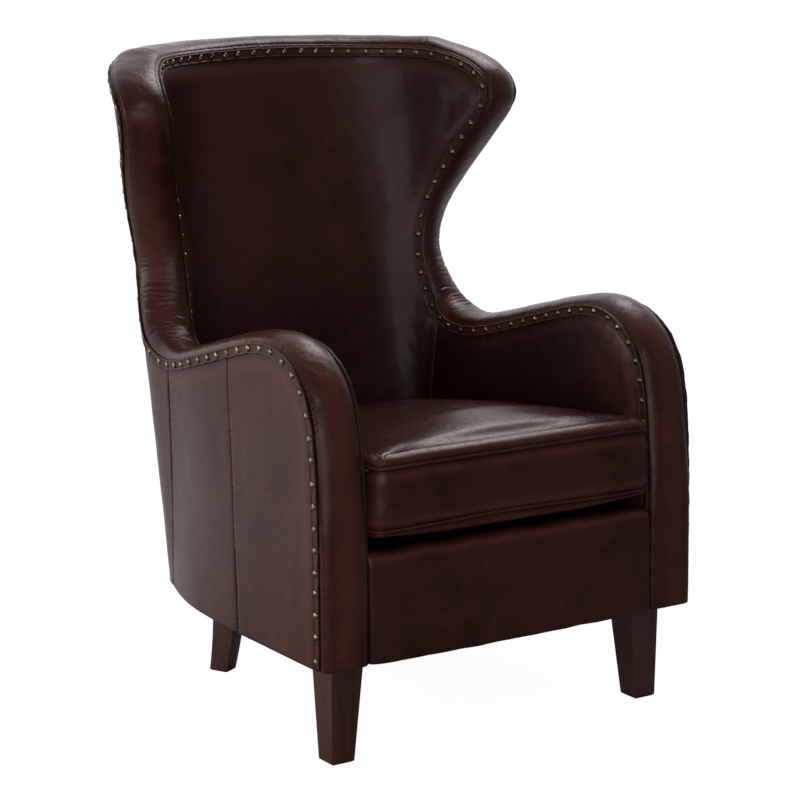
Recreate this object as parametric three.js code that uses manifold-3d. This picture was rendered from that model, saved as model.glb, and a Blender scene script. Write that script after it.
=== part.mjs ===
// Wingback armchair in leather: a curved frame with springs, pads, covers, edge rolls, bands and legs.
// All lengths are in millimetres, +Z is up and the chair faces -Y. Left is the -X side.
import * as THREE from 'three';
import { mergeVertices } from 'three/addons/utils/BufferGeometryUtils.js';
import Module from 'manifold-3d';

// Clearances
const gap = 0.3;
const edgeClearance = 0.8;

// Heights over the floor
const bodyHeight = 159;
const railBottomRise = 3;
const railHeight = 138;
const panelRise = 19;
const seatLineRise = 5;
const armHeight = 617;
const waistHeight = 535;
const topCornerHeight = 999;
const topMiddleHeight = 1004;
const railBottomHeight = bodyHeight + railBottomRise;
const railTopHeight = railBottomHeight + railHeight;
const panelTopHeight = railTopHeight + panelRise;
const seatLineHeight = railTopHeight + seatLineRise;

// Plan of the wall's middle surface: places of its control points at the base, half way up and at the top
const wallHalfWidth = 304;
const wallFrontDepth = -300;
const sideMiddleDepth = -120;
const sideEndWidths = [306, 304, 329];
const sideEndDepths = [101, 84, 74];
const cornerWidths = [252, 289, 420];
const cornerDepths = [232, 173, 74];
const backWidths = [240, 274, 275];
const backDepths = [304, 394, 458];

// Wall make-up, from the inner face to the outer one
const baseWallThickness = 80;
const topWallThickness = 76;
const coverThickness = 2;
const padBackDepth = 7;
const boardThickness = 20;
const outerPanelThickness = 10;

// Edge of the wall in side view, at the band's centre line
const edgeFrontDepth = -282;
const waistDepth = 204;
const notchDepth = 330;
const topCornerWidth = 276;
const armEdgeShares = [
  [0, 0], [0, 0.36], [0, 0.57], [0.019, 0.797], [0.084, 0.915],
  [0.18, 0.978], [0.31, 1], [0.52, 0.945], [0.76, 0.874], [0.97, 0.822],
];
const wingEdgeShares = [
  [0.47, 0.036], [0.74, 0.11], [0.93, 0.215], [1, 0.335], [0.93, 0.455], [0.74, 0.57],
  [0.47, 0.69], [0.22, 0.8], [0.19, 0.87], [0.38, 0.93], [0.7, 0.97], [1, 0.99],
];
const topEdgeShares = [1, 0.77, 0.4, 0];

// Stations counted along those points
const trimFootIndex = 1;
const shoulderIndex = 2;
const outerMiddleSeamIndex = 7;
const outerSeamIndex = 9;
const innerSeamIndex = 10;
const notchIndex = 13;
const wingTipIndex = 18;
const cornerIndex = 22;
const middleIndex = 25;
const armBendIndex = 6;
const bends = [[shoulderIndex, armBendIndex], [outerSeamIndex, middleIndex]];

// Seams: depth of the foot of each at the bottom of its panels
const outerMiddleSeamFootDepth = -57;
const outerSeamFootDepth = 222;
const innerSeamFootDepth = 262;

// Rolls and bands
const frontRollRise = 20;
const armRollRise = 23;
const wingRollRise = 19;
const topRollRise = 26;
const rollSeamShift = 11;
const rollSides = 6;
// Power of the rolls' section: 1 is half an ellipse, less is squarer
const frontRollPower = 0.6;
const rollPower = 0.85;
const bandWidth = 15;
const bandThickness = 2.5;
const bandClearance = 1.5;
const bandMargin = 5;

// Padding
const armSwell = 5;
const backSwell = 16;

// Frame
const boardInset = 5;
const rimWidth = 26;
const postWidth = 45;
const frontRailThickness = 26;
const backPostWidth = 42;
const lumbarRise = 170;
const lumbarRailHeight = railTopHeight + lumbarRise;
const lumbarRailWidth = 45;
const sideRailEndShare = 0.7;
const blockHeight = 38;
const frontBlockLength = 90;
const rearBlockShares = [0.58, 0.84];
const rearBlockDepth = 85;
const rearBlockEndDepth = 2;
const rearBlockClearance = 0.9;

// Springs and webbing
const wireRadius = 2;
const springReach = 20;
const springPitch = 62;
const springSpacing = 92;
const springCount = 4;
const strapWidth = 50;
const strapThickness = 2;
const strapShares = [0.11, 0.45, 0.79];

// Seat
const deckEdgeThickness = 13;
const deckClearance = 3.5;
const cushionHalfWidth = 256;
const cushionFrontDepth = -306;
const cushionBow = 6;
const cushionCornerRadius = 22;
const cushionClearance = 1;
const cushionRise = 54;
const boxingHeight = 103;
const lowerWeltHeight = railTopHeight + cushionRise;
const upperWeltHeight = lowerWeltHeight + boxingHeight;
// Rake of the seat: the drop of the cushion's underside and of its top from the front to the back
const undersideDrop = 26;
const topDrop = 60;
const rakePower = 1.6;
const topCrown = 16;
const underCrown = 8;
const sideDraw = 3;
const crownShares = [0.35, 0.65, 0.87];
const crownPower = 2.4;
const deckInnerShare = 0.5;
const weltRadius = 3.5;
const weltGroove = 8.5;
const weltLip = 1;
const weltMargin = 2;
const coverLining = 3;
const seamAllowance = 12;
const zipHalfHeight = 12;

// Front panel and dust cover
const panelFrontDepth = -307;
const panelEdgeRadius = 14;
const dustCoverThickness = 1.5;
const dustCoverInset = 16;

// Legs and their bolts
const frontLegTopWidth = 58;
const frontLegFootWidth = 40;
const frontLegTopX = 280;
const frontLegTopDepth = -242;
const frontLegFootX = 287;
const frontLegFootDepth = -249;
const rearLegAngle = THREE.MathUtils.degToRad(27.5);
const rearLegTopSize = [36, 55];
const rearLegFootSize = [28, 35];
const rearLegTopX = 204;
const rearLegTopDepth = 214;
const rearLegFootX = 208.5;
const rearLegFootDepth = 235;
const rearLegSweepPower = 1.8;
const rearLegTaperPower = 0.7;
const boltRadius = 4;
const boltInLeg = 32;
const boltInBlock = 26;
const boltClearance = 0.3;
const frontBoltShift = [2, 4];

// Counts of facets
const seamRows = 3;
const armRows = 4;
const railSteps = 10;
const railRows = 2;
const lumbarSteps = 8;
const strapSteps = 8;
const dustCoverSteps = 16;
const holeSteps = 4;
const panelEdgeSteps = 5;
const legSteps = 6;
const blockSteps = 6;
const boltSides = 8;
const wireSides = 5;
const waveSteps = 4;
const weltSides = 6;
const seatFrontSteps = 4;
const seatCornerSteps = 4;
const seatSideSteps = 13;

const colours = {
  leather: [0x3a1a12, 0.32, 0],
  band: [0x2e1610, 0.45, 0],
  foam: [0xd8cfae, 0.95, 0],
  wood: [0x9a7448, 0.7, 0],
  leg: [0x2f130c, 0.4, 0],
  steel: [0x8a8d90, 0.35, 1],
  cloth: [0x17161a, 0.95, 0],
  webbing: [0x4a4038, 0.9, 0],
};

const chair = new THREE.Group();
const wasm = await Module();
wasm.setup();

// Adds one sub-part to the chair under its own name
function add(name, geometry, colour) {
  const [color, roughness, metalness] = colours[colour];
  const mesh = new THREE.Mesh(geometry, new THREE.MeshStandardMaterial({ color, roughness, metalness }));
  mesh.name = name;
  chair.add(mesh);
  return mesh;
}

// Shape helpers
const mix = (a, b, share) => a + (b - a) * share;
const steps = (count) => Array.from({ length: count + 1 }, (_, i) => i / count);
const mirrored = (points) => points.map((p) => new THREE.Vector3(-p.x, p.y, p.z));

// Closed mesh from positions and triangles, turned so that its faces point out
function solid(points, triangles) {
  let volume = 0;
  for (const [a, b, c] of triangles) {
    volume += points[a].dot(points[b].clone().cross(points[c]));
  }
  const index = triangles.flatMap(([a, b, c]) => (volume < 0 ? [a, c, b] : [a, b, c]));
  const geometry = new THREE.BufferGeometry().setFromPoints(points);
  geometry.setIndex(index);
  geometry.computeVertexNormals();
  return geometry;
}

// Skin between rings of points. Open ends are closed by strips across the ring.
// The quads are split so that both faces of a slab match, and both halves of a folded piece
function loft(rings, { closed = false, folded = false } = {}) {
  const count = rings[0].length;
  const face = Math.ceil(count / 2);
  const triangles = [];
  const last = closed ? rings.length : rings.length - 1;
  for (let j = 0; j < last; j += 1) {
    const near = j * count;
    const far = ((j + 1) % rings.length) * count;
    for (let i = 0; i < count; i += 1) {
      const k = (i + 1) % count;
      const turned = i % face < face - 1 ? i % face >= (face - 1) / 2 : i < face;
      if (turned === (folded && 2 * j >= last)) {
        triangles.push([near + i, near + k, far + i], [near + k, far + k, far + i]);
      } else {
        triangles.push([near + i, near + k, far + k], [near + i, far + k, far + i]);
      }
    }
  }
  const cap = (start, flip) => {
    for (let i = 0, k = count - 1; k - i > 1; i += 1, k -= 1) {
      const strip = [[start + i, start + k, start + k - 1]];
      if (k - i > 2) strip.push([start + i, start + k - 1, start + i + 1]);
      strip.forEach(([a, b, c]) => triangles.push(flip ? [a, c, b] : [a, b, c]));
    }
  };
  if (!closed) {
    cap(0, false);
    cap((rings.length - 1) * count, true);
  }
  return solid(rings.flat(), triangles);
}

function toManifold(geometry) {
  const bare = geometry.clone();
  bare.deleteAttribute('normal');
  bare.deleteAttribute('uv');
  const merged = mergeVertices(bare);
  const vertProperties = new Float32Array(merged.attributes.position.array);
  const triVerts = new Uint32Array(merged.index.array);
  return new wasm.Manifold(new wasm.Mesh({ numProp: 3, vertProperties, triVerts }));
}

// Cuts the second shape out of the first
function cut(geometry, tool) {
  const mesh = toManifold(geometry).subtract(toManifold(tool)).getMesh();
  const result = new THREE.BufferGeometry();
  result.setAttribute('position', new THREE.BufferAttribute(new Float32Array(mesh.vertProperties), 3));
  result.setIndex(new THREE.BufferAttribute(new Uint32Array(mesh.triVerts), 1));
  result.computeVertexNormals();
  return result;
}

// Upright rod between two heights
function rod(x, y, low, high, radius, sides) {
  const geometry = new THREE.CylinderGeometry(radius, radius, high - low, sides);
  geometry.rotateX(Math.PI / 2);
  geometry.translate(x, y, (low + high) / 2);
  return geometry;
}

// Plan of the wall at a height: a clamped cubic spline from the front end to the middle of the back
const planKnots = [0, 0, 0, 0, 1 / 3, 2 / 3, 1, 1, 1, 1];
const planSpans = 3;
const planDegree = 3;

function atHeight([base, half, top], height) {
  const t = (height - bodyHeight) / (topMiddleHeight - bodyHeight);
  return base * (1 - t) * (1 - 2 * t) + half * 4 * t * (1 - t) + top * t * (2 * t - 1);
}

function planPoint(share, height) {
  const controls = [
    [wallHalfWidth, wallFrontDepth],
    [wallHalfWidth, sideMiddleDepth],
    [atHeight(sideEndWidths, height), atHeight(sideEndDepths, height)],
    [atHeight(cornerWidths, height), atHeight(cornerDepths, height)],
    [atHeight(backWidths, height), atHeight(backDepths, height)],
    [0, atHeight(backDepths, height)],
  ];
  const first = Math.min(planSpans - 1, Math.max(0, Math.floor(share * planSpans)));
  const point = controls.slice(first, first + planDegree + 1).map(([x, y]) => new THREE.Vector2(x, y));
  for (let level = 1; level <= planDegree; level += 1) {
    for (let i = planDegree; i >= level; i -= 1) {
      const low = planKnots[first + i];
      const high = planKnots[first + planDegree + 1 + i - level];
      point[i].lerpVectors(point[i - 1], point[i], (share - low) / (high - low));
    }
  }
  return point[planDegree];
}

// Change of the plan point with its share
function planSlope(share, height) {
  const small = 1e-4;
  const high = Math.min(1, share + small);
  const low = Math.max(0, share - small);
  return planPoint(high, height).sub(planPoint(low, height)).divideScalar(high - low);
}

// Change of the plan point with height
function planLean(share, height) {
  const small = gap / 3;
  return planPoint(share, height + small).sub(planPoint(share, height - small)).divideScalar(2 * small);
}

function wallNormal(share, height) {
  if (share > 1) {
    const other = wallNormal(2 - share, height);
    return new THREE.Vector3(-other.x, other.y, 0);
  }
  const along = planSlope(share, height).normalize();
  return new THREE.Vector3(along.y, -along.x, 0);
}

// Point of the wall: a share of 0 is the right front end, 1 the middle of the back and 2 the left front end.
// The offset goes outwards from the middle surface
function wall(share, height, offset) {
  if (share > 1) {
    const other = wall(2 - share, height, offset);
    return new THREE.Vector3(-other.x, other.y, other.z);
  }
  const point = planPoint(share, height);
  return new THREE.Vector3(point.x, point.y, height).addScaledVector(wallNormal(share, height), offset);
}

const halfWall = (height) => {
  const t = (height - bodyHeight) / (topMiddleHeight - bodyHeight);
  return mix(baseWallThickness, topWallThickness, t) / 2;
};

// Finds a share by halving its range, for a value that falls as the share grows
function shareWhere(value) {
  let low = 0;
  let high = 1;
  for (let i = 0; i < 40; i += 1) {
    const half = (low + high) / 2;
    if (value(half) > 0) low = half;
    else high = half;
  }
  return (low + high) / 2;
}

const shareAtDepth = (depth, height) => shareWhere((s) => depth - planPoint(s, height).y);
const shareAtWidth = (width, height) => {
  const widest = shareAtDepth(waistDepth, height);
  return shareWhere((s) => (s < widest ? 1 : planPoint(s, height).x - width));
};

// Edge of the wall: a smooth line through the points of the tables, on the middle surface
const edgePoints = [
  ...armEdgeShares.map(([run, rise]) => {
    const height = mix(bodyHeight, armHeight, rise);
    return wall(shareAtDepth(mix(edgeFrontDepth, waistDepth, run), height), height, 0);
  }),
  ...wingEdgeShares.map(([run, rise]) => {
    const height = mix(waistHeight, topCornerHeight, rise);
    return wall(shareAtDepth(mix(waistDepth, notchDepth, run), height), height, 0);
  }),
  ...topEdgeShares.map((share) => {
    const height = mix(topMiddleHeight, topCornerHeight, share);
    return wall(shareAtWidth(topCornerWidth * share, height), height, 0);
  }),
];

function edgeControl(i) {
  if (i > middleIndex) {
    const other = edgeControl(2 * middleIndex - i);
    return new THREE.Vector3(-other.x, other.y, other.z);
  }
  const at = (k) => (k > middleIndex ? mirrored([edgePoints[2 * middleIndex - k]])[0] : edgePoints[k]);
  if (i < 0) return at(0).clone().multiplyScalar(2).sub(edgeControl(1));
  if (i === 0) return at(0).clone();
  const bend = at(i).clone().multiplyScalar(2).sub(at(i - 1)).sub(at(i + 1));
  return at(i).clone().addScaledVector(bend, 1 / 6);
}

function edgePoint(station) {
  const i = Math.min(middleIndex - 1, Math.floor(station));
  const t = station - i;
  const weights = [
    (1 - t) ** 3 / 6,
    (3 * t ** 3 - 6 * t ** 2 + 4) / 6,
    (-3 * t ** 3 + 3 * t ** 2 + 3 * t + 1) / 6,
    t ** 3 / 6,
  ];
  const point = new THREE.Vector3();
  weights.forEach((weight, k) => point.addScaledVector(edgeControl(i - 1 + k), weight));
  return point;
}

// Share of the wall's plan nearest to a point
function nearestShare(point) {
  const miss = (s) => planPoint(s, point.z).distanceTo(new THREE.Vector2(point.x, point.y));
  const best = steps(100).reduce((a, b) => (miss(b) < miss(a) ? b : a));
  let low = Math.max(0, best - 0.01);
  let high = Math.min(1, best + 0.01);
  for (let i = 0; i < 40; i += 1) {
    const a = mix(low, high, 0.4);
    const b = mix(low, high, 0.6);
    if (miss(a) < miss(b)) high = b;
    else low = a;
  }
  return (low + high) / 2;
}

// Place on the edge: its share and height, and the frame of a section across it
const edgeCache = new Map();

function edge(station) {
  if (edgeCache.has(station)) return edgeCache.get(station);
  const raw = edgePoint(station);
  const share = station === middleIndex ? 1 : nearestShare(raw);
  const origin = wall(share, raw.z, 0);
  const small = 0.01;
  const low = Math.max(0, station - small);
  const along = edgePoint(Math.min(middleIndex, station + small)).sub(edgePoint(low)).normalize();
  if (station === middleIndex) along.set(-1, 0, 0);
  const normal = wallNormal(share, raw.z);
  const outward = normal.clone().cross(along).normalize();
  const lean = planLean(share, raw.z);
  outward.addScaledVector(normal, outward.z * (lean.x * normal.x + lean.y * normal.y));
  const place = { station, share, height: raw.z, origin, along, normal, outward };
  edgeCache.set(station, place);
  return place;
}

// Share and height of the place a distance in from the edge, along the surface
function inset(station, distance) {
  const { share, height, outward } = edge(station);
  const slope = planSlope(share, height);
  const lean = planLean(share, height).multiplyScalar(outward.z);
  const run = ((outward.x - lean.x) * slope.x + (outward.y - lean.y) * slope.y) / slope.lengthSq();
  return [share - distance * run, height - distance * outward.z];
}

// Stations between two of them: two for each step in the bends, one elsewhere
function stations(from, to) {
  const list = [from];
  for (let i = from; i < to; i += 1) {
    if (bends.some(([low, high]) => i >= low && i < high)) list.push(i + 0.5);
    list.push(i + 1);
  }
  return list;
}

// Turns a station's shift along the edge into a distance
function shifted(station, distance) {
  const small = 0.01;
  const speed = edgePoint(station).distanceTo(edgePoint(station - small)) / small;
  return station - distance / speed;
}

// Grid of shares and heights between four border lines
function patch(left, right, bottom, top) {
  const rows = left.length - 1;
  const columns = bottom.length - 1;
  return left.map((_, j) => bottom.map((__, i) => {
    const s = i / columns;
    const t = j / rows;
    return [0, 1].map((k) => {
      const across = mix(left[j][k], right[j][k], s);
      const up = mix(bottom[i][k], top[i][k], t);
      const lower = mix(bottom[0][k], bottom[columns][k], s);
      const upper = mix(top[0][k], top[columns][k], s);
      return across + up - mix(lower, upper, t);
    });
  }));
}

const rectangle = (low, high, columns, rows) => steps(rows).map((t) => steps(columns).map(
  (s) => [mix(low[0], high[0], s), mix(low[1], high[1], t)],
));

// Adds to a grid the share of its swelling at each place, nothing at the borders and most in the middle
const swollen = (grid) => grid.map((row, j) => row.map(([share, height], i) => {
  const s = Math.sin(Math.PI * i / (row.length - 1));
  const t = Math.sin(Math.PI * j / (grid.length - 1));
  return [share, height, (s * t) ** 2];
}));

// Place a distance from one grid point towards another
function towards(from, to, distance) {
  const length = wall(from[0], from[1], 0).distanceTo(wall(to[0], to[1], 0));
  const t = distance / length;
  return [mix(from[0], to[0], t), mix(from[1], to[1], t), 0];
}

// Flat border under the band along the left side and the top of a grid
function bordered(grid) {
  const border = bandWidth / 2 + bandMargin;
  const top = grid.length - 1;
  const wider = grid.map((row) => [row[0], towards(row[0], row[1], border), ...row.slice(1)]);
  const line = wider[top].map((place, i) => towards(place, wider[top - 1][i], border));
  return [...wider.slice(0, top), line, wider[top]];
}

// The part of a bordered grid inside its border
const unbordered = (grid) => grid.slice(0, -1).map((row) => row.slice(1));

// Rings of the solid between two offsets of a grid. Each offset is a function of height, and both swell alike
const slabRings = (grid, inner, outer, swell = 0) => grid.map((row) => [
  ...row.map(([share, height, rise = 0]) => wall(share, height, inner(height) - swell * rise)),
  ...row.map(([share, height, rise = 0]) => wall(share, height, outer(height) - swell * rise)).reverse(),
]);

const slab = (...sizes) => loft(slabRings(...sizes));

// The same grid on both halves of the back, joined in the middle
const across = (grid) => grid.map((row) => [
  ...row,
  ...row.slice(0, -1).reverse().map(([share, height, rise]) => [2 - share, height, rise]),
]);

const edgeLine = (from, to) => stations(from, to).map((i) => [edge(i).share, edge(i).height]);

// Seam from its foot up to the edge, as a list of shares and heights
function seamLine(footDepth, footHeight, station, rows) {
  const foot = shareAtDepth(footDepth, footHeight);
  const end = edge(station);
  return steps(rows).map((t) => [mix(foot, end.share, t), mix(footHeight, end.height, t)]);
}

// Moves a border line a small distance towards the front or the back
const moved = (line, distance) => line.map(([share, height]) => [
  share + distance / planSlope(share, height).length(), height,
]);

// Share of a line's length at each of its points
function lengthShares(line) {
  const points = line.map(([share, height]) => wall(share, height, 0));
  const lengths = points.map((_, i) => points.slice(0, i + 1).reduce(
    (sum, p, k) => (k ? sum + p.distanceTo(points[k - 1]) : sum), 0,
  ));
  return lengths.map((length) => length / lengths[lengths.length - 1]);
}

// Panel of the back: from its side seam and the wing's edge to the middle
function backGrid(seamFootDepth, seamStation, footHeight, rows) {
  const seam = moved(seamLine(seamFootDepth, footHeight, seamStation, rows), gap);
  const left = [...seam.slice(0, -1), ...edgeLine(seamStation, cornerIndex)];
  const top = edgeLine(cornerIndex, middleIndex);
  const right = lengthShares(left).map((t) => [1, mix(footHeight, edge(middleIndex).height, t)]);
  const bottom = top.map(([share]) => {
    const run = (share - top[0][0]) / (1 - top[0][0]);
    return [mix(left[0][0], 1, run), footHeight];
  });
  return patch(left, right, bottom, top);
}

// Panel of the arm: from the front edge, or a seam, to another seam
function armGrid(left, right, top, footHeight) {
  const start = left[0][0];
  const end = right[0][0];
  const columns = top.length - 1;
  const bottom = top.map(([share], i) => {
    const follow = (share - top[0][0]) / (top[columns][0] - top[0][0]);
    return [mix(start, end, (follow + i / columns) / 2), footHeight];
  });
  return patch(left, right, bottom, top);
}

const frontLine = (footHeight, rows) => steps(rows).map((t) => {
  const height = mix(footHeight, edge(shoulderIndex).height, t);
  return [shareAtDepth(edgeFrontDepth, height), height];
});

// Adds a piece on the right side and its mirror image on the left
function bothSides(name, rings, colour) {
  add(`${name}_right`, loft(rings), colour);
  add(`${name}_left`, loft(rings.map(mirrored)), colour);
}

// Pads and covers inside the wall
const innerFace = (height) => -halfWall(height);
const coverBack = (height) => innerFace(height) + coverThickness;
const padFront = (height) => coverBack(height) + gap;
const padBack = () => -padBackDepth;

function insideBack() {
  const half = backGrid(innerSeamFootDepth, innerSeamIndex, seatLineHeight, seamRows);
  const grid = bordered(half.map((row, j) => row.map(([share, height], i) => {
    const s = Math.sin(Math.PI / 2 * i / (row.length - 1));
    const t = Math.sin(Math.PI * j / (half.length - 1));
    return [share, height, (s * t) ** 2];
  })));
  add('inside_back_cover', slab(across(grid), innerFace, coverBack, backSwell), 'leather');
  add('inside_back_pad', slab(across(unbordered(grid)), padFront, padBack, backSwell), 'foam');
}

function insideArms() {
  const seam = moved(seamLine(innerSeamFootDepth, seatLineHeight, innerSeamIndex, armRows), -gap);
  const top = [...edgeLine(shoulderIndex, innerSeamIndex).slice(0, -1), seam[armRows]];
  const grid = bordered(swollen(armGrid(frontLine(seatLineHeight, armRows), seam, top, seatLineHeight)));
  bothSides('inside_arm_cover', slabRings(grid, innerFace, coverBack, armSwell), 'leather');
  bothSides('inside_arm_pad', slabRings(unbordered(grid), padFront, padBack, armSwell), 'foam');
}

// Panels outside the wall
const outerFace = (height) => halfWall(height);
const outerBack = (height) => outerFace(height) - outerPanelThickness;

function outsidePanels() {
  const back = across(backGrid(outerSeamFootDepth, outerSeamIndex, bodyHeight, armRows));
  add('outside_back', slab(back, outerBack, outerFace), 'leather');
  const middleSeam = seamLine(outerMiddleSeamFootDepth, bodyHeight, outerMiddleSeamIndex, armRows);
  const rearSeam = moved(seamLine(outerSeamFootDepth, bodyHeight, outerSeamIndex, armRows), -gap);
  const frontEnd = moved(middleSeam, -gap);
  const frontTop = [...edgeLine(shoulderIndex, outerMiddleSeamIndex).slice(0, -1), frontEnd[armRows]];
  const front = armGrid(frontLine(bodyHeight, armRows), frontEnd, frontTop, bodyHeight);
  const rearStart = moved(middleSeam, gap);
  const rearTop = edgeLine(outerMiddleSeamIndex, outerSeamIndex);
  rearTop[0] = rearStart[armRows];
  rearTop[rearTop.length - 1] = rearSeam[armRows];
  const rear = armGrid(rearStart, rearSeam, rearTop, bodyHeight);
  bothSides('outside_arm_front', slabRings(front, outerBack, outerFace), 'leather');
  bothSides('outside_arm_rear', slabRings(rear, outerBack, outerFace), 'leather');
}

// Stations of the edge where the rolls' rise is given, with smooth steps from one to the next
const rollRises = [
  [trimFootIndex, frontRollRise], [shoulderIndex + 2, armRollRise], [notchIndex, armRollRise],
  [wingTipIndex, wingRollRise], [cornerIndex, topRollRise],
];

function rollRiseAt(station) {
  const step = (rise, [end, next], k) => (
    mix(rise, next, THREE.MathUtils.smoothstep(station, rollRises[k][0], end)));
  return rollRises.slice(1).reduce(step, frontRollRise);
}

// Padded roll over the wall's edge, as a half round section that stands on the edge line
function rollRing(station) {
  const { origin, normal, outward, height } = edge(station);
  const growth = THREE.MathUtils.smoothstep(station, trimFootIndex, shoulderIndex + 2);
  const rise = rollRiseAt(station);
  const power = mix(frontRollPower, rollPower, growth);
  const squared = (value) => Math.sign(value) * Math.abs(value) ** power;
  return steps(rollSides).map((t) => {
    const [across, out] = t === 1 ? [-1, 0] : [Math.cos(Math.PI * t), Math.sin(Math.PI * t)];
    return origin.clone()
      .addScaledVector(normal, -halfWall(height) * squared(across))
      .addScaledVector(outward, mix(edgeClearance, rise, squared(out)));
  });
}

// Piece that runs over the middle of the back, from the rings of its right half
const whole = (rings) => loft([...rings, ...rings.slice(0, -1).reverse().map(mirrored)], { folded: true });

function rolls() {
  const side = stations(0, cornerIndex);
  side[side.length - 1] = shifted(cornerIndex, rollSeamShift + gap / 2);
  const sideRings = side.map(rollRing);
  bothSides('edge_roll', sideRings, 'leather');
  const half = stations(cornerIndex, middleIndex);
  half[0] = shifted(cornerIndex, rollSeamShift - gap / 2);
  const halfRings = half.map(rollRing);
  add('top_roll', whole(halfRings), 'leather');
}

// Leather band over the joint of roll and panel. The side is 1 outside and -1 inside
function bandRing(station, side) {
  const { origin, normal, outward, height } = edge(station);
  const face = halfWall(height) + bandClearance;
  return [[-1, 0], [1, 0], [1, 1], [-1, 1]].map(([edgeSide, out]) => origin.clone()
    .addScaledVector(outward, edgeSide * bandWidth / 2)
    .addScaledVector(normal, side * (face + out * bandThickness)));
}

function bands() {
  for (const [name, side, from] of [['inner_band', -1, trimFootIndex], ['outer_band', 1, 0]]) {
    add(name, whole(stations(from, middleIndex).map((station) => bandRing(station, side))), 'band');
  }
}

// Rings of the board along the edge between two stations
function rimBoard(from, to) {
  return stations(from, to).map((station, k, list) => {
    const ends = k === 0 ? -gap / 2 : k === list.length - 1 ? gap / 2 : 0;
    const place = station === 0 || station === middleIndex ? station : shifted(station, ends);
    const near = inset(place, boardInset);
    const far = inset(place, boardInset + rimWidth);
    return [
      wall(...near, 0), wall(...far, 0), wall(...far, boardThickness), wall(...near, boardThickness),
    ];
  });
}

const boardFaces = [() => 0, () => boardThickness];
const board = (...place) => slab(rectangle(...place), ...boardFaces);

const postShare = inset(notchIndex, boardInset + rimWidth + gap)[0];
const postEndShare = postShare + backPostWidth / planSlope(postShare, railTopHeight).length();
const topRailRings = rimBoard(cornerIndex, middleIndex);
const postTopHeight = Math.min(...topRailRings.filter((_, i, list) => (
  i === 0 || nearestShare(list[i - 1][1]) < postEndShare
)).map((ring) => ring[1].z)) - gap;
const strapTopHeight = Math.min(...topRailRings.map((ring) => ring[1].z)) - gap - strapWidth;
const frontRailDepth = edgeFrontDepth + gap;
const frontRailBack = frontRailDepth + frontRailThickness;
const postBackDepth = edgeFrontDepth + boardInset + postWidth;

function frame() {
  const armRail = rimBoard(shoulderIndex, innerSeamIndex);
  const postTop = Math.min(...armRail[0].map((p) => p.z)) - gap;
  const postRings = [railBottomHeight, postTop].map((height) => {
    const ends = [edgeFrontDepth + boardInset, postBackDepth].map((depth) => shareAtDepth(depth, height));
    return [
      wall(ends[0], height, 0), wall(ends[1], height, 0),
      wall(ends[1], height, boardThickness), wall(ends[0], height, boardThickness),
    ];
  });
  bothSides('front_post', postRings, 'wood');
  bothSides('arm_rail', armRail, 'wood');
  bothSides('wing_frame', rimBoard(innerSeamIndex, cornerIndex), 'wood');

  add('top_rail', whole(topRailRings), 'wood');

  const sideStart = shareAtDepth(postBackDepth + gap, railBottomHeight);
  const sideEnd = [sideRailEndShare, railTopHeight];
  const sideRail = rectangle([sideStart, railBottomHeight], sideEnd, railSteps, railRows);
  bothSides('side_rail', slabRings(sideRail, ...boardFaces), 'wood');
  const backStart = sideRailEndShare + gap / planSlope(sideRailEndShare, railTopHeight).length();
  const backEnd = [2 - backStart, railTopHeight];
  add('back_rail', board([backStart, railBottomHeight], backEnd, 2 * railSteps, railRows), 'wood');

  const postLow = [postShare, railTopHeight + gap];
  const post = rectangle(postLow, [postEndShare, postTopHeight], railRows, railSteps);
  bothSides('back_post', slabRings(post, ...boardFaces), 'wood');
  const lumbarStart = postEndShare + gap / planSlope(postEndShare, lumbarRailHeight).length();
  const lumbarEnd = [2 - lumbarStart, lumbarRailHeight + lumbarRailWidth];
  add('lumbar_rail', board([lumbarStart, lumbarRailHeight], lumbarEnd, lumbarSteps, 1), 'wood');

  const frontRail = new THREE.BoxGeometry(
    2 * (wallHalfWidth - gap), frontRailThickness, railTopHeight - railBottomHeight,
  );
  frontRail.translate(0, (frontRailDepth + frontRailBack) / 2, (railBottomHeight + railTopHeight) / 2);
  add('front_rail', frontRail, 'wood');
}

// Leg places, the bolt in each and the block it is driven into
const legTopHeight = railBottomHeight - dustCoverThickness - 2 * gap;
const boltTopHeight = railBottomHeight + boltInBlock;

// Signs of the four corners of a leg's section
const corners = [[-1, -1], [1, -1], [1, 1], [-1, 1]];

const frontLegRings = [
  [legTopHeight, frontLegTopWidth, frontLegTopX, frontLegTopDepth],
  [0, frontLegFootWidth, frontLegFootX, frontLegFootDepth],
].map(([z, width, x, y]) => corners.map(
  ([a, b]) => new THREE.Vector3(x + a * width / 2, y + b * width / 2, z),
));

const rearLegRings = steps(legSteps).map((t) => {
  const sweep = t ** rearLegSweepPower;
  const x = mix(rearLegTopX, rearLegFootX, sweep);
  const y = mix(rearLegTopDepth, rearLegFootDepth, sweep);
  const taper = t ** rearLegTaperPower;
  const [wide, deep] = [0, 1].map((k) => mix(rearLegTopSize[k], rearLegFootSize[k], taper) / 2);
  const side = new THREE.Vector3(Math.cos(rearLegAngle), -Math.sin(rearLegAngle), 0);
  const back = new THREE.Vector3(Math.sin(rearLegAngle), Math.cos(rearLegAngle), 0);
  const centre = new THREE.Vector3(x, y, mix(legTopHeight, 0, t));
  return corners.map(([a, b]) => centre.clone()
    .addScaledVector(side, a * wide)
    .addScaledVector(back, b * deep));
});

function frontBlock() {
  const shape = new THREE.Shape();
  const x = wallHalfWidth - gap;
  const y = frontRailBack + gap;
  shape.moveTo(x - frontBlockLength, y);
  shape.lineTo(x, y);
  shape.lineTo(x, y + frontBlockLength);
  shape.closePath();
  const geometry = new THREE.ExtrudeGeometry(shape, { depth: blockHeight, bevelEnabled: false });
  geometry.translate(0, 0, railBottomHeight);
  return geometry;
}

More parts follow.
